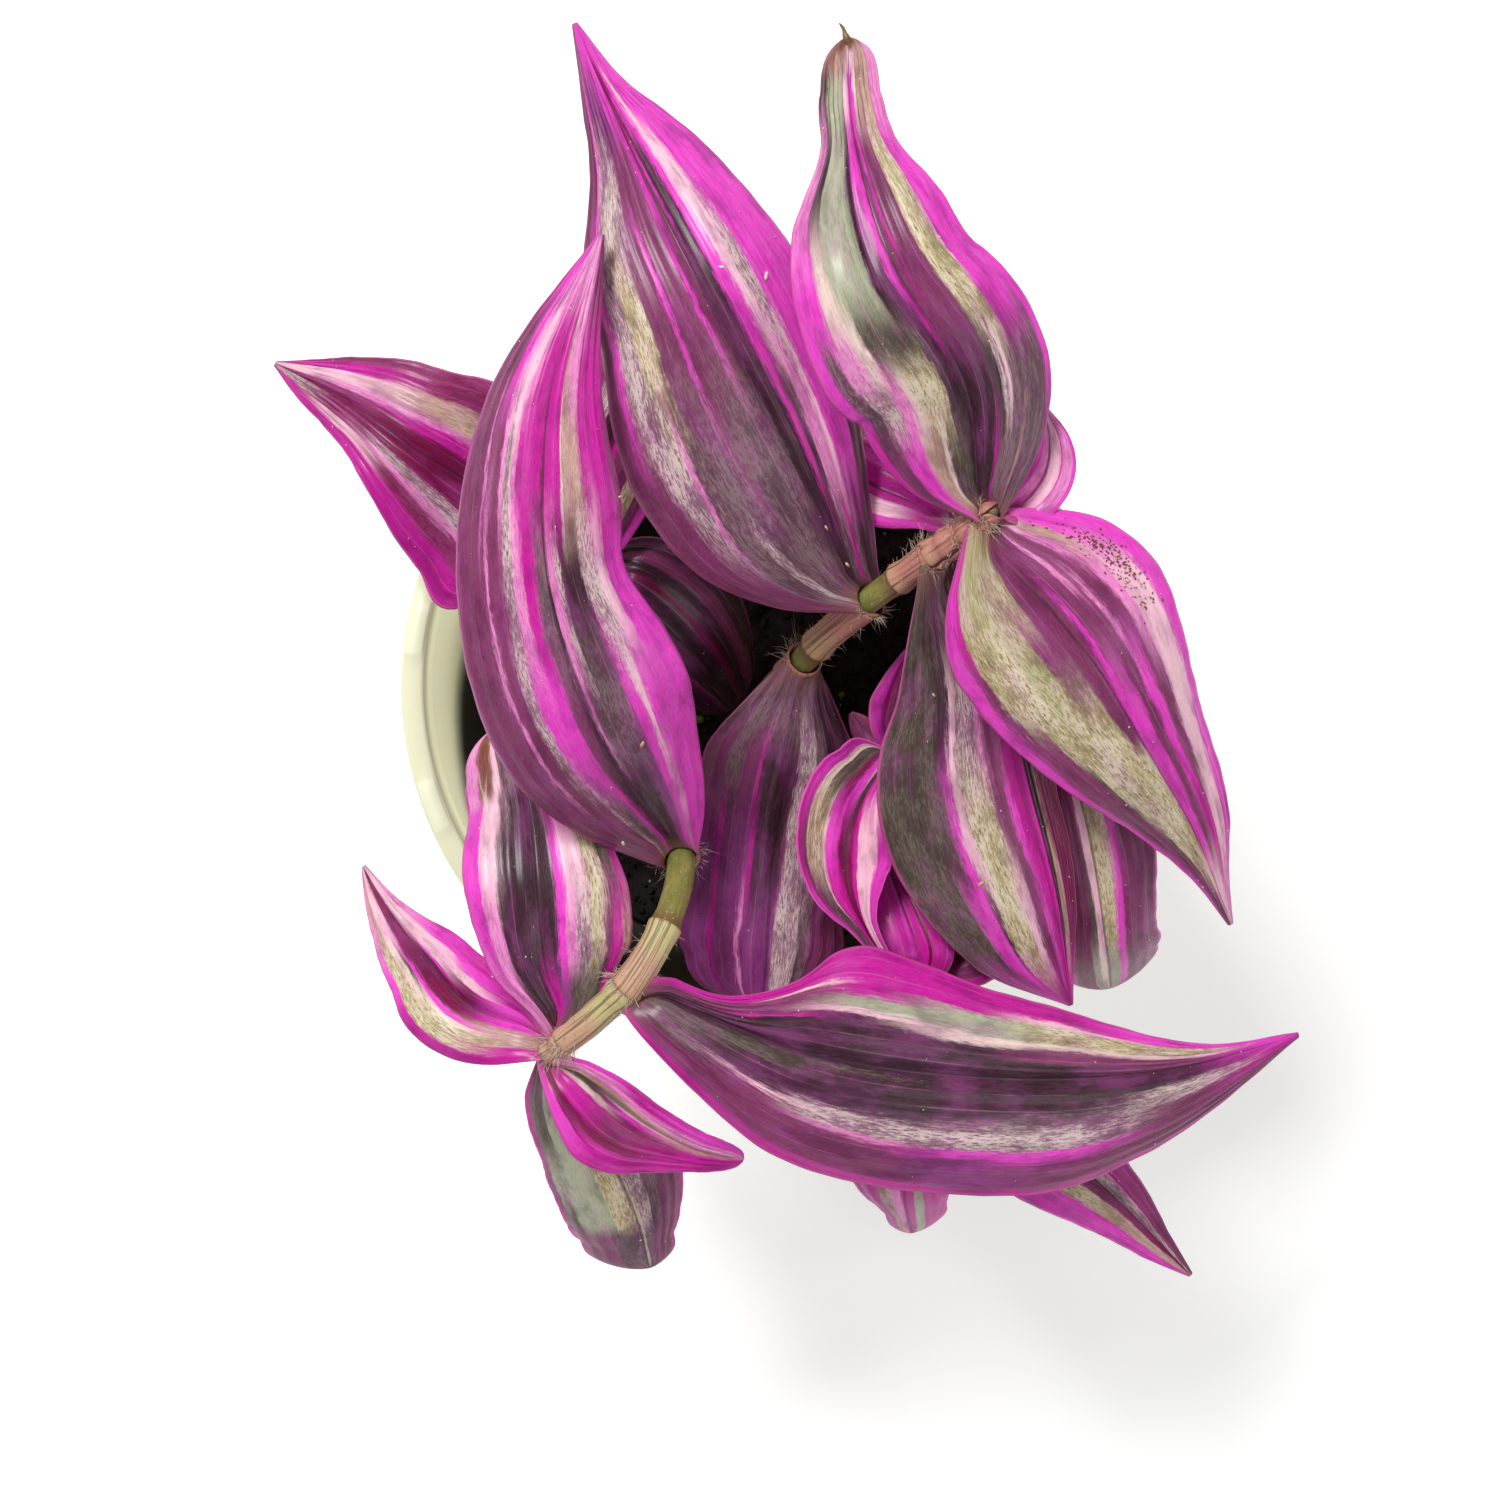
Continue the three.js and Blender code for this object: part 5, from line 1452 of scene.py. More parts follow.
    def relief(self, u: Array, v: Array) -> Array:
        """Height over the plain blade: pleats between veins, the midrib's groove, bulges
        and a fine uneven ripple along the margins.

        Args:
            u: parts of the way from base to tip.
            v: -1 at the right margin to 1 at the left.

        Returns:
            The heights.
        """
        rng = np.random.default_rng(SEED + self.seed)
        across = v * self.widest
        inner = ease(0.02, 0.16, u) * ease(1.0, 0.86, u)
        pleats = self.pleat * np.cos(2 * np.pi * across / self.pleat_width)
        groove = -self.rib_depth * np.exp(-((across / self.rib_width) ** 2)) * ease(1.0, 0.7, u)
        start = rng.uniform(0, 2 * np.pi, 3)
        fine = sum(np.sin(2 * np.pi * k * u + s + 2 * v) for k, s in zip((7, 11, 17), start))
        height = (pleats + groove) * inner + self.ruffle * fine * np.abs(v) ** 4 * inner
        for swell in self.plan.swells:
            apart = ((u - swell.u) / swell.along) ** 2 + ((v - swell.v) / swell.across) ** 2
            height = height + swell.height * np.exp(-apart)
        return height

    def surface(self) -> tuple[Array, Array, Array]:
        """Middle surface of the whole leaf, and what its points carry.

        The sheath's rows go up the stem. From its mouth on, a point moves from the ring
        carried on along the stem to its place on the blade, by a smooth step.

        Returns:
            The points, their places on the leaf, and the places its pattern follows.
        """
        at = (self.foot, self.plan.at[1])
        v = np.linspace(-1, 1, self.columns)[None, :]
        tube_rows = int(np.clip((at[1] - at[0]) * self.stem.length / self.tube_step, *self.tube_limits))
        t = np.linspace(at[0], at[1], tube_rows, endpoint=False)[:, None]
        tube = self.around(t, v)
        even = np.linspace(0, 1, self.rows)
        u = (even**1.08 + self.plan.blunt * (1 - (1 - even) ** 1.5 - even) * even)[:, None]
        mouth = self.around(np.full_like(u, at[1]), v)
        onward = heading(self.stem.path, np.array(at[1]))
        opening = min(self.opening / self.length, self.opening_part)
        free = ease(0, opening, u)
        blade = self.blade(u, v)
        blade = blade + grid_normals(blade) * (self.relief(u, v) * free)[..., None]
        carried = mouth + onward * (u * self.length * self.onward)[..., None]
        sheet = carried * (1 - free[..., None]) + blade * free[..., None]
        points = np.concatenate([tube, sheet])
        before = (t - at[1]) * self.stem.length
        along = np.concatenate([before, u * self.length])
        sheath = np.concatenate([np.ones_like(t), 1 - free])
        place = stacked(along / self.length, v, sheath)
        grain = stacked(along, v * self.widest, self.seed * self.grain_shift)
        return points, place, grain

    def build(self, under: Material, slot: str) -> Object:
        """Makes the leaf's piece: both faces of the sheet and the strip round its margin.

        Args:
            under: finish of its underside.
            slot: the record's material slot of its solid.

        Returns:
            The object.
        """
        middle, place, grain = self.surface()
        rows, columns = middle.shape[:2]
        normal = grid_normals(middle)
        edge = 1 - self.edge_thin * np.abs(np.linspace(-1, 1, columns)) ** 3
        thin = 1 - self.sheath_thin * place[..., 2:]
        half = (self.thick / 2 * edge)[None, :, None] * thin * normal
        points = np.stack([middle + half, middle - half])
        top = grid_faces(rows, columns)
        below = top[:, ::-1] + rows * columns
        right = np.arange(rows) * columns
        rim = np.concatenate([np.arange(columns), right[1:] + columns - 1,
                              rows * columns - 2 - np.arange(columns - 1), right[-2:0:-1]])
        after = np.roll(rim, -1)
        strip = np.stack([rim, after, after + rows * columns, rim + rows * columns], -1)
        faces = np.concatenate([top, below, strip])
        slots = np.concatenate([np.zeros(len(top)), np.ones(len(below)), np.zeros(len(strip))])
        form = Form(points, faces, np.stack([place] * 2), np.stack([grain] * 2), slots)
        name = self.plan.name
        piece = form.piece(name.replace("leaf", "blade"), [LeafTop().make(self.plan), under], slot)
        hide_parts(name)
        return piece


@dataclass
class Hairs:
    """Fine pale hairs of one stem: a fringe at each sheath's mouth, fewer on the tube.

    Attributes:
        leaves: the stem's leaves.
        seed: number that sets their pattern.
        width: radius of a hair at its root.
        droop: how much a hair bends by chance.
        fringe_length: shortest and longest hair of a mouth's fringe.
        tube_length: the same on a sheath's tube.
        tuft_length: the same on the growing tip.
        tuft_count: number of hairs there.
    """

    leaves: Sequence[Leaf]
    seed: int
    width: float = 0.04
    droop: float = 0.16
    fringe_length: Pair = (0.8, 3.0)
    tube_length: Pair = (0.3, 1.6)
    tuft_length: Pair = (0.4, 1.7)
    tuft_count: int = 150

    def __post_init__(self) -> None:
        """Starts its own source of chance."""
        self.rng = np.random.default_rng(SEED * 10 + self.seed)

    def spikes(self, roots: Array, ways: Array, lengths: Array) -> Form:
        """Bent three-sided spikes: a ring at the root, a thinner one halfway, and a tip.

        Args:
            roots: where they stand.
            ways: unit directions.
            lengths: their lengths.

        Returns:
            Their form.
        """
        count = len(roots)
        droop = self.rng.normal(0, self.droop, (count, 3))
        aside = unit(np.cross(ways, self.rng.normal(0, 1, (count, 3))))
        other = np.cross(ways, aside)
        turn = np.arange(3) * 2 * np.pi / 3
        ring = rings(aside[:, None], other[:, None], turn)
        middle = roots + (ways + droop * 0.5) * lengths[:, None] * 0.5
        tip = roots + (ways + droop * 2) * lengths[:, None]
        low = roots[:, None] + ring * self.width
        high = middle[:, None] + ring * self.width * 0.6
        points = np.concatenate([low, high, tip[:, None]], 1)
        k, n = np.arange(3), (np.arange(3) + 1) % 3
        side = np.concatenate([np.stack([k, n, n + 3], -1), np.stack([k, n + 3, k + 3], -1)])
        cap = np.stack([k + 3, n + 3, np.full(3, 6)], -1)
        one = np.concatenate([side, cap, [[2, 1, 0]]])
        return Form(points, copies(one, count, 7), np.zeros(points.shape))

    def ways(self, leaf: Leaf, t: Array, roots: Array, lift: Array | float, stray: float) -> Array:
        """Unit directions: out from the stem, lift times the way along it, and some chance."""
        outward = unit(roots - smooth_curve(leaf.stem.path, t))
        along = heading(leaf.stem.path, t)
        return unit(outward + along * lift + self.rng.normal(0, stray, roots.shape))

    def of_leaf(self, leaf: Leaf) -> Form:
        """The hairs of one sheath: root places by chance, denser and longer at the mouth.

        Args:
            leaf: the leaf.

        Returns:
            Their form.
        """
        at = (leaf.foot, leaf.plan.at[1])
        span = (at[1] - at[0]) * leaf.stem.length
        fringe, tube = int(30 + 2 * span), int(6 * span)
        t = np.concatenate([np.full(fringe, at[1]), self.rng.uniform(at[0], at[1], tube)])
        back = self.rng.choice([-1.0, 1.0], fringe) * self.rng.uniform(0.35, 1, fringe)
        v = np.concatenate([back, self.rng.uniform(-1, 1, tube)])
        roots = leaf.around(t, v, growth=0.1)
        lift = np.concatenate([self.rng.uniform(0.1, 1.2, fringe), self.rng.uniform(-0.2, 0.7, tube)])
        ways = self.ways(leaf, t, roots, lift[:, None], 0.2)
        lengths = np.concatenate([self.rng.uniform(*self.fringe_length, fringe),
                                  self.rng.uniform(*self.tube_length, tube)])
        return self.spikes(roots, ways, lengths)

    def tuft(self) -> Form:
        """The fine hairs on the growing tip: root places on its last part, short and dense.

        Returns:
            Their form.
        """
        leaf = self.leaves[-1]
        t = self.rng.uniform(0.94, 1.0, self.tuft_count)
        roots = leaf.around(t, self.rng.uniform(-1, 1, self.tuft_count))
        ways = self.ways(leaf, t, roots, 0.5, 0.35)
        return self.spikes(roots, ways, self.rng.uniform(*self.tuft_length, self.tuft_count))

    def build(self, key: str, silk: Material) -> Object:
        """Makes one piece of all the stem's hairs."""
        form = Form.joined([*(self.of_leaf(leaf) for leaf in self.leaves), self.tuft()])
        return form.piece(f"hairs_{key}", [silk], "stem")


@dataclass
class Pot:
    """The round nursery pot: its solid's profile with softened corners, pads and drains."""

    height: float = 92
    rim_radius: float = 52.5
    foot_radius: float = 37
    wall: float = 1.3
    lip_width: float = 3.4
    lip_thick: float = 1.4
    collar_height: float = 13
    collar_step: float = 1.6
    collar_slope: float = 1.5
    floor_thick: float = 1.6
    foot_lift: float = 2.2
    foot_ring: float = 5
    foot_disc: float = 12
    bevel: float = 0.8
    lip_bevel: float = 0.4
    throat_depth: float = 5
    throat_step: float = 0.5
    pad_count: int = 12
    pad_angle: float = 8.5
    pad_height: float = 0.35
    pad_start: float = 20.5
    pad_edge: float = 0.008
    drain_count: int = 6
    drain_radius: float = 3.2
    drain_circle: float = 24
    drain_sides: int = 40
    sides: int = 240

    def wall_radius(self, z: float) -> float:
        """Outside radius of the wall: it widens evenly from the foot to under the lip."""
        top = self.rim_radius - self.lip_width + self.wall
        return self.foot_radius + (top - self.foot_radius) * z / self.height

    def inner(self, z: float) -> float:
        """Inside radius of the wall."""
        return self.wall_radius(z) - self.wall

    def profile(self) -> Array:
        """Radius, height, and 1 inside or 0 outside, from the foot's middle round to the floor's.

        Returns:
            One row a point.
        """
        collar = self.height - self.collar_height
        under = self.height - self.lip_thick
        ring = self.foot_radius - self.foot_ring
        lip = self.rim_radius - self.lip_width
        throat = self.height - self.throat_depth
        floor = self.foot_lift + self.floor_thick
        corners = [
            (0, 0, 0), (self.foot_disc, 0, 0), (self.foot_disc + self.bevel, self.foot_lift, 0),
            (ring, self.foot_lift, 0), (ring + self.bevel, 0, 0), (self.foot_radius - self.bevel, 0, 0),
            (self.wall_radius(self.bevel), self.bevel, 0), (self.wall_radius(collar / 2), collar / 2, 0),
            (self.wall_radius(collar), collar, 0),
            (self.wall_radius(collar) + self.collar_step, collar + self.collar_slope, 0),
            (self.wall_radius(under) + self.collar_step, under, 0),
            (self.rim_radius - self.lip_bevel, under, 0), (self.rim_radius, under + self.lip_bevel, 0),
            (self.rim_radius, self.height - self.lip_bevel, 0),
            (self.rim_radius - self.lip_bevel, self.height, 0), (lip + self.lip_bevel, self.height, 0.1),
            (lip, self.height - self.lip_bevel, 0.4), (self.inner(throat) + self.throat_step, throat, 1),
            (self.inner(throat - self.lip_bevel), throat - self.lip_bevel, 1),
            (self.inner(60), 60, 1), (self.inner(30), 30, 1), (self.inner(floor), floor, 1), (0, floor, 1),
        ]
        return self._softened(np.array(corners, float))

    @staticmethod
    def _softened(corners: Array) -> Array:
        """Each inner corner becomes two points, a short way back and on, so it shades crisp.

        Args:
            corners: the corners.

        Returns:
            The points.
        """
        back = corners[:-2] - corners[1:-1]
        onward = corners[2:] - corners[1:-1]
        lengths = [np.linalg.norm(way[:, :2], axis=1) for way in (back, onward)]
        reach = [np.minimum(0.12 / length, 0.4)[:, None] for length in lengths]
        pairs = np.stack([corners[1:-1] + back * reach[0], corners[1:-1] + onward * reach[1]], 1)
        return np.concatenate([corners[:1], pairs.reshape(-1, 3), corners[-1:]])

    def build(self, plastic: Material) -> Object:
        """Makes the pot: the profile turned about the axis, pads lifted from the lip, drains cut.

        A point is (radius cos a, radius sin a, z + pad height x lip x pad), where lip is 1 on
        the lip's top and pad is 1 within half a pad's angle of its middle, with soft ends.

        Args:
            plastic: its finish.

        Returns:
            The object.
        """
        profile = self.profile()
        angle = np.linspace(0, 2 * np.pi, self.sides, endpoint=False)
        pitch = 2 * np.pi / self.pad_count
        off = (angle - np.radians(self.pad_start) + pitch / 2) % pitch - pitch / 2
        half = np.radians(self.pad_angle) / 2
        pad = ease(half + self.pad_edge, half - self.pad_edge, np.abs(off))
        middle = self.rim_radius - self.lip_width / 2
        on_lip = (profile[:, 1] > self.height - 0.05) & (np.abs(profile[:, 0] - middle) < self.lip_width / 2)
        radius, z = profile[:, 0][:, None], profile[:, 1][:, None]
        lifted = z + self.pad_height * on_lip[:, None] * pad[None, :]
        points = stacked(radius * np.cos(angle), radius * np.sin(angle), lifted)
        place = stacked(profile[:, 2][:, None], angle, lifted)
        faces = grid_faces(len(profile), self.sides, closed=True)[:, ::-1]
        piece = Form(points, faces, place).piece("pot_shell", [plastic], "pot", weld=True)
        self._drain(piece)
        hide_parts("pot")
        return piece

    def _drain(self, piece: Object) -> None:
        """Cuts the drain holes with upright tubes and applies the cut.

        Args:
            piece: the pot.
        """
        turn = np.linspace(0, 2 * np.pi, self.drain_sides, endpoint=False)
        heights = np.array([-3.0, -3.0, 8.0, 8.0])
        radii = np.array([0.0, 1.0, 1.0, 0.0]) * self.drain_radius
        forms = []
        for k in range(self.drain_count):
            middle = 2 * np.pi * (k + 0.5) / self.drain_count
            x = self.drain_circle * np.cos(middle) + radii[:, None] * np.cos(turn)
            y = self.drain_circle * np.sin(middle) + radii[:, None] * np.sin(turn)
            points = stacked(x, y, heights[:, None])
            faces = grid_faces(len(radii), self.drain_sides, closed=True)[:, ::-1]
            forms.append(Form(points, faces, np.zeros_like(points)))
        drill = Form.joined(forms).piece("drill", [], "pot", weld=True)
        cut = piece.modifiers.new("drains", "BOOLEAN")
        cut.operation, cut.solver, cut.object = "DIFFERENCE", "EXACT", drill
        bpy.context.view_layer.update()
        whole = piece.evaluated_get(bpy.context.evaluated_depsgraph_get())
        mesh = bpy.data.meshes.new_from_object(whole)
        piece.modifiers.clear()
        piece.data = mesh
        bpy.data.objects.remove(drill)


@dataclass
class Soil:
    """The soil: a lumpy heap that fills the pot, with loose crumbs and grains on it.

    Attributes:
        top: height of its edge.
        crown: how far its middle rises over that.
        reach: radius over which the crown falls off.
        lump: height of the solid's lumps.
        wall_gap: gap to the pot's wall.
        floor_gap: gap to its floor.
        crumbs: number of crumbs.
        seeds: part of them that is pale.
        mosses: part of them that is green.
        crumb: radius of the smallest, and what chance adds.
        squash: how flat a crumb is at most.
        knob: how uneven it is.
        perch: how high its middle sits, in radii.
        sides: points round it.
        rows: rings of its top.
    """

    top: float = 46
    crown: float = 2.2
    reach: float = 52.5
    lump: float = 0.9
    wall_gap: float = 0.6
    floor_gap: float = 0.3
    crumbs: int = 2600
    seeds: float = 0.035
    mosses: float = 0.015
    crumb: Pair = (0.28, 0.75)
    squash: float = 0.45
    knob: float = 0.22
    perch: float = 0.25
    sides: int = 200
    rows: int = 80

    def height(self, x: Array, y: Array) -> Array:
        """Height of the surface: the solid's crown and lumps, and two finer sets of waves.

        Args:
            x: first place.
            y: second place.

        Returns:
            The heights.
        """
        out = np.hypot(x, y) / self.reach
        wide = np.sin(0.31 * x + 1.2) * np.cos(0.27 * y)
        slanting = np.sin(0.52 * y - 0.4 * x)
        plain = self.top + self.crown * (1 - out**2) + self.lump * (wide + 0.6 * slanting) * (1 - out**4)
        return plain + 1.1 * crossed_waves(x, y, 5.0, 3) + 0.7 * crossed_waves(x, y, 1.9, 4)

    def build(self, pot: Pot, ground: Material) -> Object:
        """Makes the heap: rings from the middle of its top, down the wall, to the floor's middle.

        Args:
            pot: the pot that holds it.
            ground: its finish.

        Returns:
            The object.
        """
        edge = pot.inner(self.top) - self.wall_gap
        floor = pot.foot_lift + pot.floor_thick + self.floor_gap
        angle = np.linspace(0, 2 * np.pi, self.sides, endpoint=False)[None, :]
        radius = np.linspace(0, edge, self.rows)[:, None]
        x, y = radius * np.cos(angle), radius * np.sin(angle)
        foot = pot.inner(floor) - self.wall_gap
        low = [stacked(r * np.cos(angle), r * np.sin(angle), floor) for r in (foot, 0.0)]
        points = np.concatenate([stacked(x, y, self.height(x, y)), *low])
        dry = np.clip(0.5 + 0.5 * crossed_waves(points[..., 0], points[..., 1], 12, 8), 0, 1)
        form = Form(points, grid_faces(len(points), self.sides, closed=True), stacked(dry, 0.0, 0.0))
        piece = form.piece("soil_heap", [ground], "soil", weld=True)
        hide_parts("soil")
        self._crumbs(edge, ground)
        return piece

    def _crumbs(self, edge: float, ground: Material) -> None:
        """Scatters crumbs: squashed lumpy balls of six sides, turned and sized by chance.

        Args:
            edge: radius of the heap.
            ground: their finish.
        """
        rng = np.random.default_rng(SEED + 5)
        rows, sides = 5, 6
        rise = np.linspace(0, 1, rows) * np.pi
        turn = np.arange(sides) * 2 * np.pi / sides
        wide, tall = np.sin(rise)[:, None], np.cos(rise)[:, None]
        ball = stacked(wide * np.cos(turn), wide * np.sin(turn), tall).reshape(-1, 3)
        count = self.crumbs
        far, way = (edge - 1) * np.sqrt(rng.uniform(0, 1, count)), rng.uniform(0, 2 * np.pi, count)
        x, y = far * np.cos(way), far * np.sin(way)
        size = self.crumb[0] + self.crumb[1] * rng.uniform(0, 1, count) ** 3
        flat = rng.uniform(self.squash, 1.0, (count, 1, 3)) * size[:, None, None]
        turns = np.linalg.qr(rng.normal(0, 1, (count, 3, 3)))[0]
        turns *= np.sign(np.linalg.det(turns))[:, None, None]
        bumps = 1 + self.knob * rng.uniform(-1, 1, (count, len(ball), 1))
        bumps[:, :sides] = bumps[:, :1]
        bumps[:, -sides:] = bumps[:, -sides:][:, :1]
        points = np.einsum("nij,nkj->nki", turns, ball[None] * flat * bumps)
        points = points + stacked(x, y, self.height(x, y) + self.perch * size)[:, None]
        faces = copies(grid_faces(rows, sides, closed=True), count, len(ball))
        kind = rng.uniform(0, 1, count)
        dry = rng.uniform(0, 1, count)
        pale = np.where(kind < self.seeds, rng.uniform(0.5, 1, count), 0)
        values = stacked(dry, pale, np.where(kind > 1 - self.mosses, 0.9, 0))
        place = np.repeat(values[:, None], len(ball), 1)
        Form(points, faces, place).piece("soil_crumbs", [ground], "soil", weld=True)


# Bits of chaff on a leaf: how far along it and across it, their length and how pale they are.
CHAFF: dict[str, tuple[tuple[float, float, float, float], ...]] = {
    "leaf_a3": ((0.65, -0.5, 1.3, 0.1), (0.23, -0.62, 0.9, 0.4)),
    "leaf_a2": ((0.13, -0.03, 1.0, 0.2), (0.07, -0.15, 1.0, 0.3), (0.49, -0.6, 1.4, 0.8),
                (0.53, -0.27, 0.9, 0.9)),
    "leaf_b1": ((0.22, -0.34, 1.1, 0.2), (0.084, 0.7, 1.3, 0.9), (0.62, -0.98, 0.8, 0.3)),
    "leaf_b3": ((0.86, -0.6, 1.0, 0.9),),
    "leaf_a5": ((0.2, 0.72, 0.7, 0.0), (0.17, 0.8, 0.5, 0.0), (0.24, 0.63, 0.6, 0.0),
                (0.22, 0.8, 0.4, 0.0)),
}


@dataclass
class DriedTip:
    """The dried hooked end of one leaf's tip: a thin bent tube that narrows to a point."""

    path: tuple[Triple, ...] = (
        (12.6, 84.4, 136.6), (12.0, 85.7, 136.8), (11.7, 86.6, 136.9), (11.0, 87.5, 137.0))
    radius: float = 0.5
    rows: int = 14
    sides: int = 10

    def build(self, skin: Material) -> Object:
        """Makes the piece: rings square to the path, with a radius that falls as 1 less u squared.

        Args:
            skin: its finish.

        Returns:
            The object.
        """
        u = np.linspace(0, 1, self.rows)
        along = heading(self.path, u)
        out = unit(np.cross(along, np.array([0.0, 0.0, 1.0])))
        beside = np.cross(along, out)
        turn = np.linspace(0, 2 * np.pi, self.sides, endpoint=False)
        ring = rings(out[:, None], beside[:, None], turn)
        radius = self.radius * (1 - u**2) * (1 + 0.2 * np.sin(9 * u))
        points = smooth_curve(self.path, u)[:, None] + ring * radius[:, None, None]
        place = stacked(u[:, None] * 9, turn, 1.0)
        faces = grid_faces(self.rows, self.sides, closed=True)[:, ::-1]
        return Form(points, faces, place, place).piece("tip_dried", [skin], "stem", weld=True)


@dataclass
class Dust:
    """White specks and bits of chaff that lie on the leaves, and one leaf's brown scurf.

    Attributes:
        leaves: all leaves.
        per_leaf: specks on a full leaf.
        full_leaf: its length times its half width.
        largest: the most that counts, in full leaves.
        along: parts of the way along a leaf between which specks lie.
        across: how near the margin they come.
        speck: length of the shortest, and what chance adds.
        shape: half length and half width of a flake of length one.
        flat: half its thickness.
        scurfy: the leaf with scurf.
        scurf: number of its flakes.
        scurf_along: their middle and spread along the leaf, and scurf_across: across it.
        scurf_length: the shortest and the longest.
    """

    leaves: Sequence[Leaf]
    per_leaf: int = 26
    full_leaf: float = 1200
    largest: float = 1.4
    along: Pair = (0.12, 0.9)
    across: float = 0.88
    speck: Pair = (0.1, 0.3)
    shape: Pair = (0.5, 0.2)
    flat: float = 0.06
    scurfy: str = "leaf_a5"
    scurf: int = 240
    scurf_along: Pair = (0.2, 0.05)
    scurf_across: Pair = (0.7, 0.065)
    scurf_length: Pair = (0.12, 0.45)

    def __post_init__(self) -> None:
        """Starts its own source of chance."""
        self.rng = np.random.default_rng(SEED + 9)

    def _flakes(self, leaf: Leaf, u: Array, v: Array, long: Array, pale: Array, dark: float = 0
                ) -> Form:
        """Thin six-sided flakes, a little over the blade, turned by chance.

        Args:
            leaf: the leaf that they lie on.
            u: places along it.
            v: places across it.
            long: lengths.
            pale: shades from chaff to white.
            dark: 1 for scurf.

        Returns:
            Their form.
        """
        step = 0.004
        here = leaf.blade(u, v)
        along = unit(leaf.blade(u + step, v) - here)
        across = unit(leaf.blade(u, v + step) - here)
        normal = unit(np.cross(along, across))
        spin = self.rng.uniform(0, np.pi, len(u))[:, None]
        long_way = along * np.cos(spin) + across * np.sin(spin)
        wide_way = np.cross(normal, long_way)
        middle = here + normal * (leaf.relief(u, v) + leaf.thick / 2 + self.flat)[:, None]
        turn = np.arange(6) * np.pi / 3
        half_long, half_wide = self.shape
        ring = rings(long_way[:, None] * half_long, wide_way[:, None] * half_wide, turn)
        ring = ring * long[:, None, None]
        lift = normal[:, None] * self.flat
        points = np.concatenate([middle[:, None] + ring + lift, middle[:, None] + ring - lift], 1)
        k = np.arange(6)
        sides = np.stack([k, k + 6, (k + 1) % 6 + 6, (k + 1) % 6], -1)
        lids = np.array([[0, 1, 2, 3], [3, 4, 5, 0], [9, 8, 7, 6], [6, 11, 10, 9]])
        one = np.concatenate([sides, lids])
        place = np.repeat(stacked(pale, dark, 0.0)[:, None], 12, 1)
        return Form(points, copies(one, len(u), 12), place)

    def build(self, finish: Material) -> Object:
        """Makes one piece of all the specks.

        Args:
            finish: their finish.

        Returns:
            The object.
        """
        forms = []
        for leaf in self.leaves:
            count = int(self.per_leaf * min(leaf.length * leaf.widest / self.full_leaf, self.largest)) + 2
            u = self.rng.uniform(*self.along, count)
            v = self.rng.uniform(-self.across, self.across, count)
            long = self.speck[0] + self.speck[1] * self.rng.uniform(0, 1, count) ** 3
            forms.append(self._flakes(leaf, u, v, long, self.rng.uniform(0.5, 1, count)))
            if leaf.plan.name == self.scurfy:
                u = self.rng.normal(*self.scurf_along, self.scurf)
                v = self.rng.normal(*self.scurf_across, self.scurf)
                long = self.rng.uniform(*self.scurf_length, self.scurf)
                forms.append(self._flakes(leaf, u, v, long, 0 * u, 1))
            if leaf.plan.name in CHAFF:
                forms.append(self._flakes(leaf, *np.array(CHAFF[leaf.plan.name]).T))
        return Form.joined(forms).piece("dust_specks", [finish], "soil")


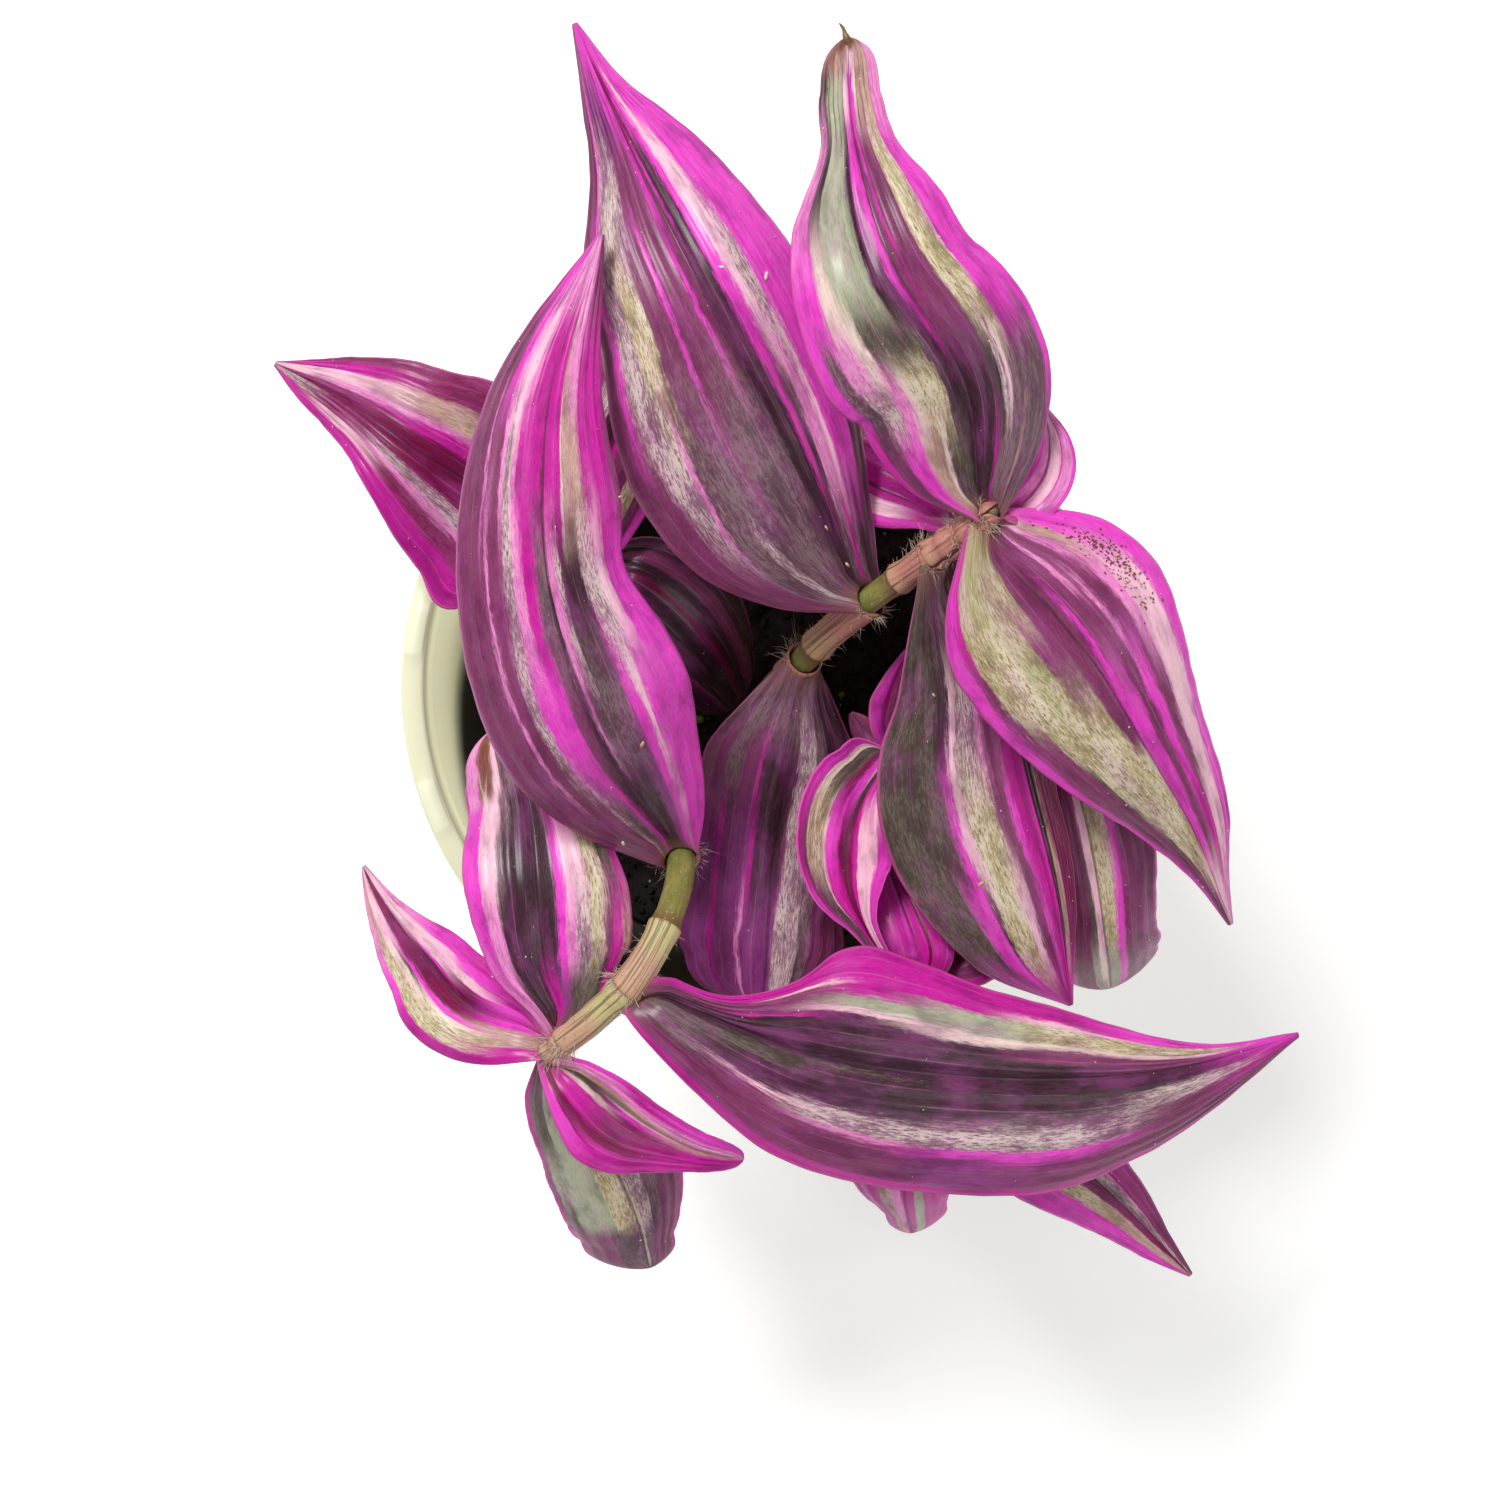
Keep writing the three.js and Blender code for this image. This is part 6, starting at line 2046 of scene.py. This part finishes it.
# ---- studio
@dataclass
class Studio:
    """Pale floor, soft light and a camera that looks straight down.

    Attributes:
        camera_at: the camera's place, millimetres.
        focal: focal length in pixels of the square picture.
        picture: the picture's side in pixels.
        sensor: the sensor's side in millimetres.
        key, fill: place in metres, side in metres and power in watts of each light.
        aim: the place that they face.
        sky: strength of the white sky.
        floor_half: half the floor's side in metres.
    """

    camera_at: Triple = (-0.74, -9.5, 542)
    focal: float = 3040.54
    picture: float = 1500
    sensor: float = 36
    key: tuple[Triple, float, float] = ((-0.45, 0.6, 1.2), 0.4, 15.9)
    fill: tuple[Triple, float, float] = ((0.75, -0.45, 1.05), 0.8, 4.5)
    aim: Triple = (0, 0, 0.1)
    sky: float = 0.3
    floor_half: float = 4

    def camera(self) -> None:
        """Makes the camera, with no shift and no depth of field."""
        data = bpy.data.cameras.new("camera")
        data.sensor_width = data.sensor_height = self.sensor
        data.lens = self.focal * self.sensor / self.picture
        data.clip_start, data.clip_end = 0.01, 20
        camera = bpy.data.objects.new("camera", data)
        camera.location = Vector(self.camera_at) * MM
        bpy.context.scene.collection.objects.link(camera)
        bpy.context.scene.camera = camera

    def floor(self) -> None:
        """Makes the pale floor under the pot's foot."""
        mesh = bpy.data.meshes.new("floor")
        half = self.floor_half
        corners = [(-half, -half, 0), (half, -half, 0), (half, half, 0), (-half, half, 0)]
        mesh.from_pydata(corners, [], [(0, 1, 2, 3)])
        floor = bpy.data.objects.new("floor", mesh)
        shade = Shade("floor_white", Roughness=0.9, Emission_Strength=0.3)
        shade.finish({"Base Color": (0.93, 0.93, 0.93), "Emission Color": (1, 1, 1)})
        mesh.materials.append(shade.material)
        bpy.context.scene.collection.objects.link(floor)

    def light(self, name: str, at: Triple, size: float, power: float) -> None:
        """Adds a soft square light that faces the plant.

        Args:
            name: its name.
            at: its place in metres.
            size: its side in metres.
            power: its power in watts.
        """
        data = bpy.data.lights.new(name, "AREA")
        data.size, data.energy = size, power
        light = bpy.data.objects.new(name, data)
        light.location = at
        light.rotation_euler = (Vector(self.aim) - Vector(at)).to_track_quat("-Z", "Y").to_euler()
        bpy.context.scene.collection.objects.link(light)

    def build(self) -> None:
        """Sets the world, the lights, the floor and the camera."""
        scene = bpy.context.scene
        world = bpy.data.worlds.new("studio")
        world.use_nodes = True
        sky = world.node_tree.nodes["Background"]
        sky.inputs[0].default_value = (1, 1, 1, 1)
        sky.inputs[1].default_value = self.sky
        scene.world = world
        scene.view_settings.view_transform = "Standard"
        self.light("key", *self.key)
        self.light("fill", *self.fill)
        self.floor()
        self.camera()


def main() -> None:
    """Builds the pot, the soil, the stems and the leaves in order, then the studio."""
    logging.basicConfig(level=logging.INFO, format="%(message)s")
    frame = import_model()
    slots = {entry["node"]: entry["material_slot"] for entry in frame["record"]["subparts"]}
    pot = Pot()
    pot.build(PotPlastic().make())
    Soil().build(pot, SoilGround().make())
    skin, silk, plain = StemSkin().make(), HairSilk().make(), LeafUnder().make()
    leaves: list[Leaf] = []
    for number, (key, plan) in enumerate(STEMS.items()):
        stem = Stem(key, plan)
        stem.build(skin)
        own = [Leaf(leaf, stem, 10 * number + k) for k, leaf in enumerate(stem.leaves)]
        under = SHEATHS[key].make() if key in SHEATHS else plain
        for leaf in own:
            leaf.build(under, slots[leaf.plan.name])
        Hairs(own, number).build(key, silk)
        leaves += own
    DriedTip().build(skin)
    Dust(leaves).build(DustFlake().make())
    Studio().build()


if __name__ == "__main__":
    main()
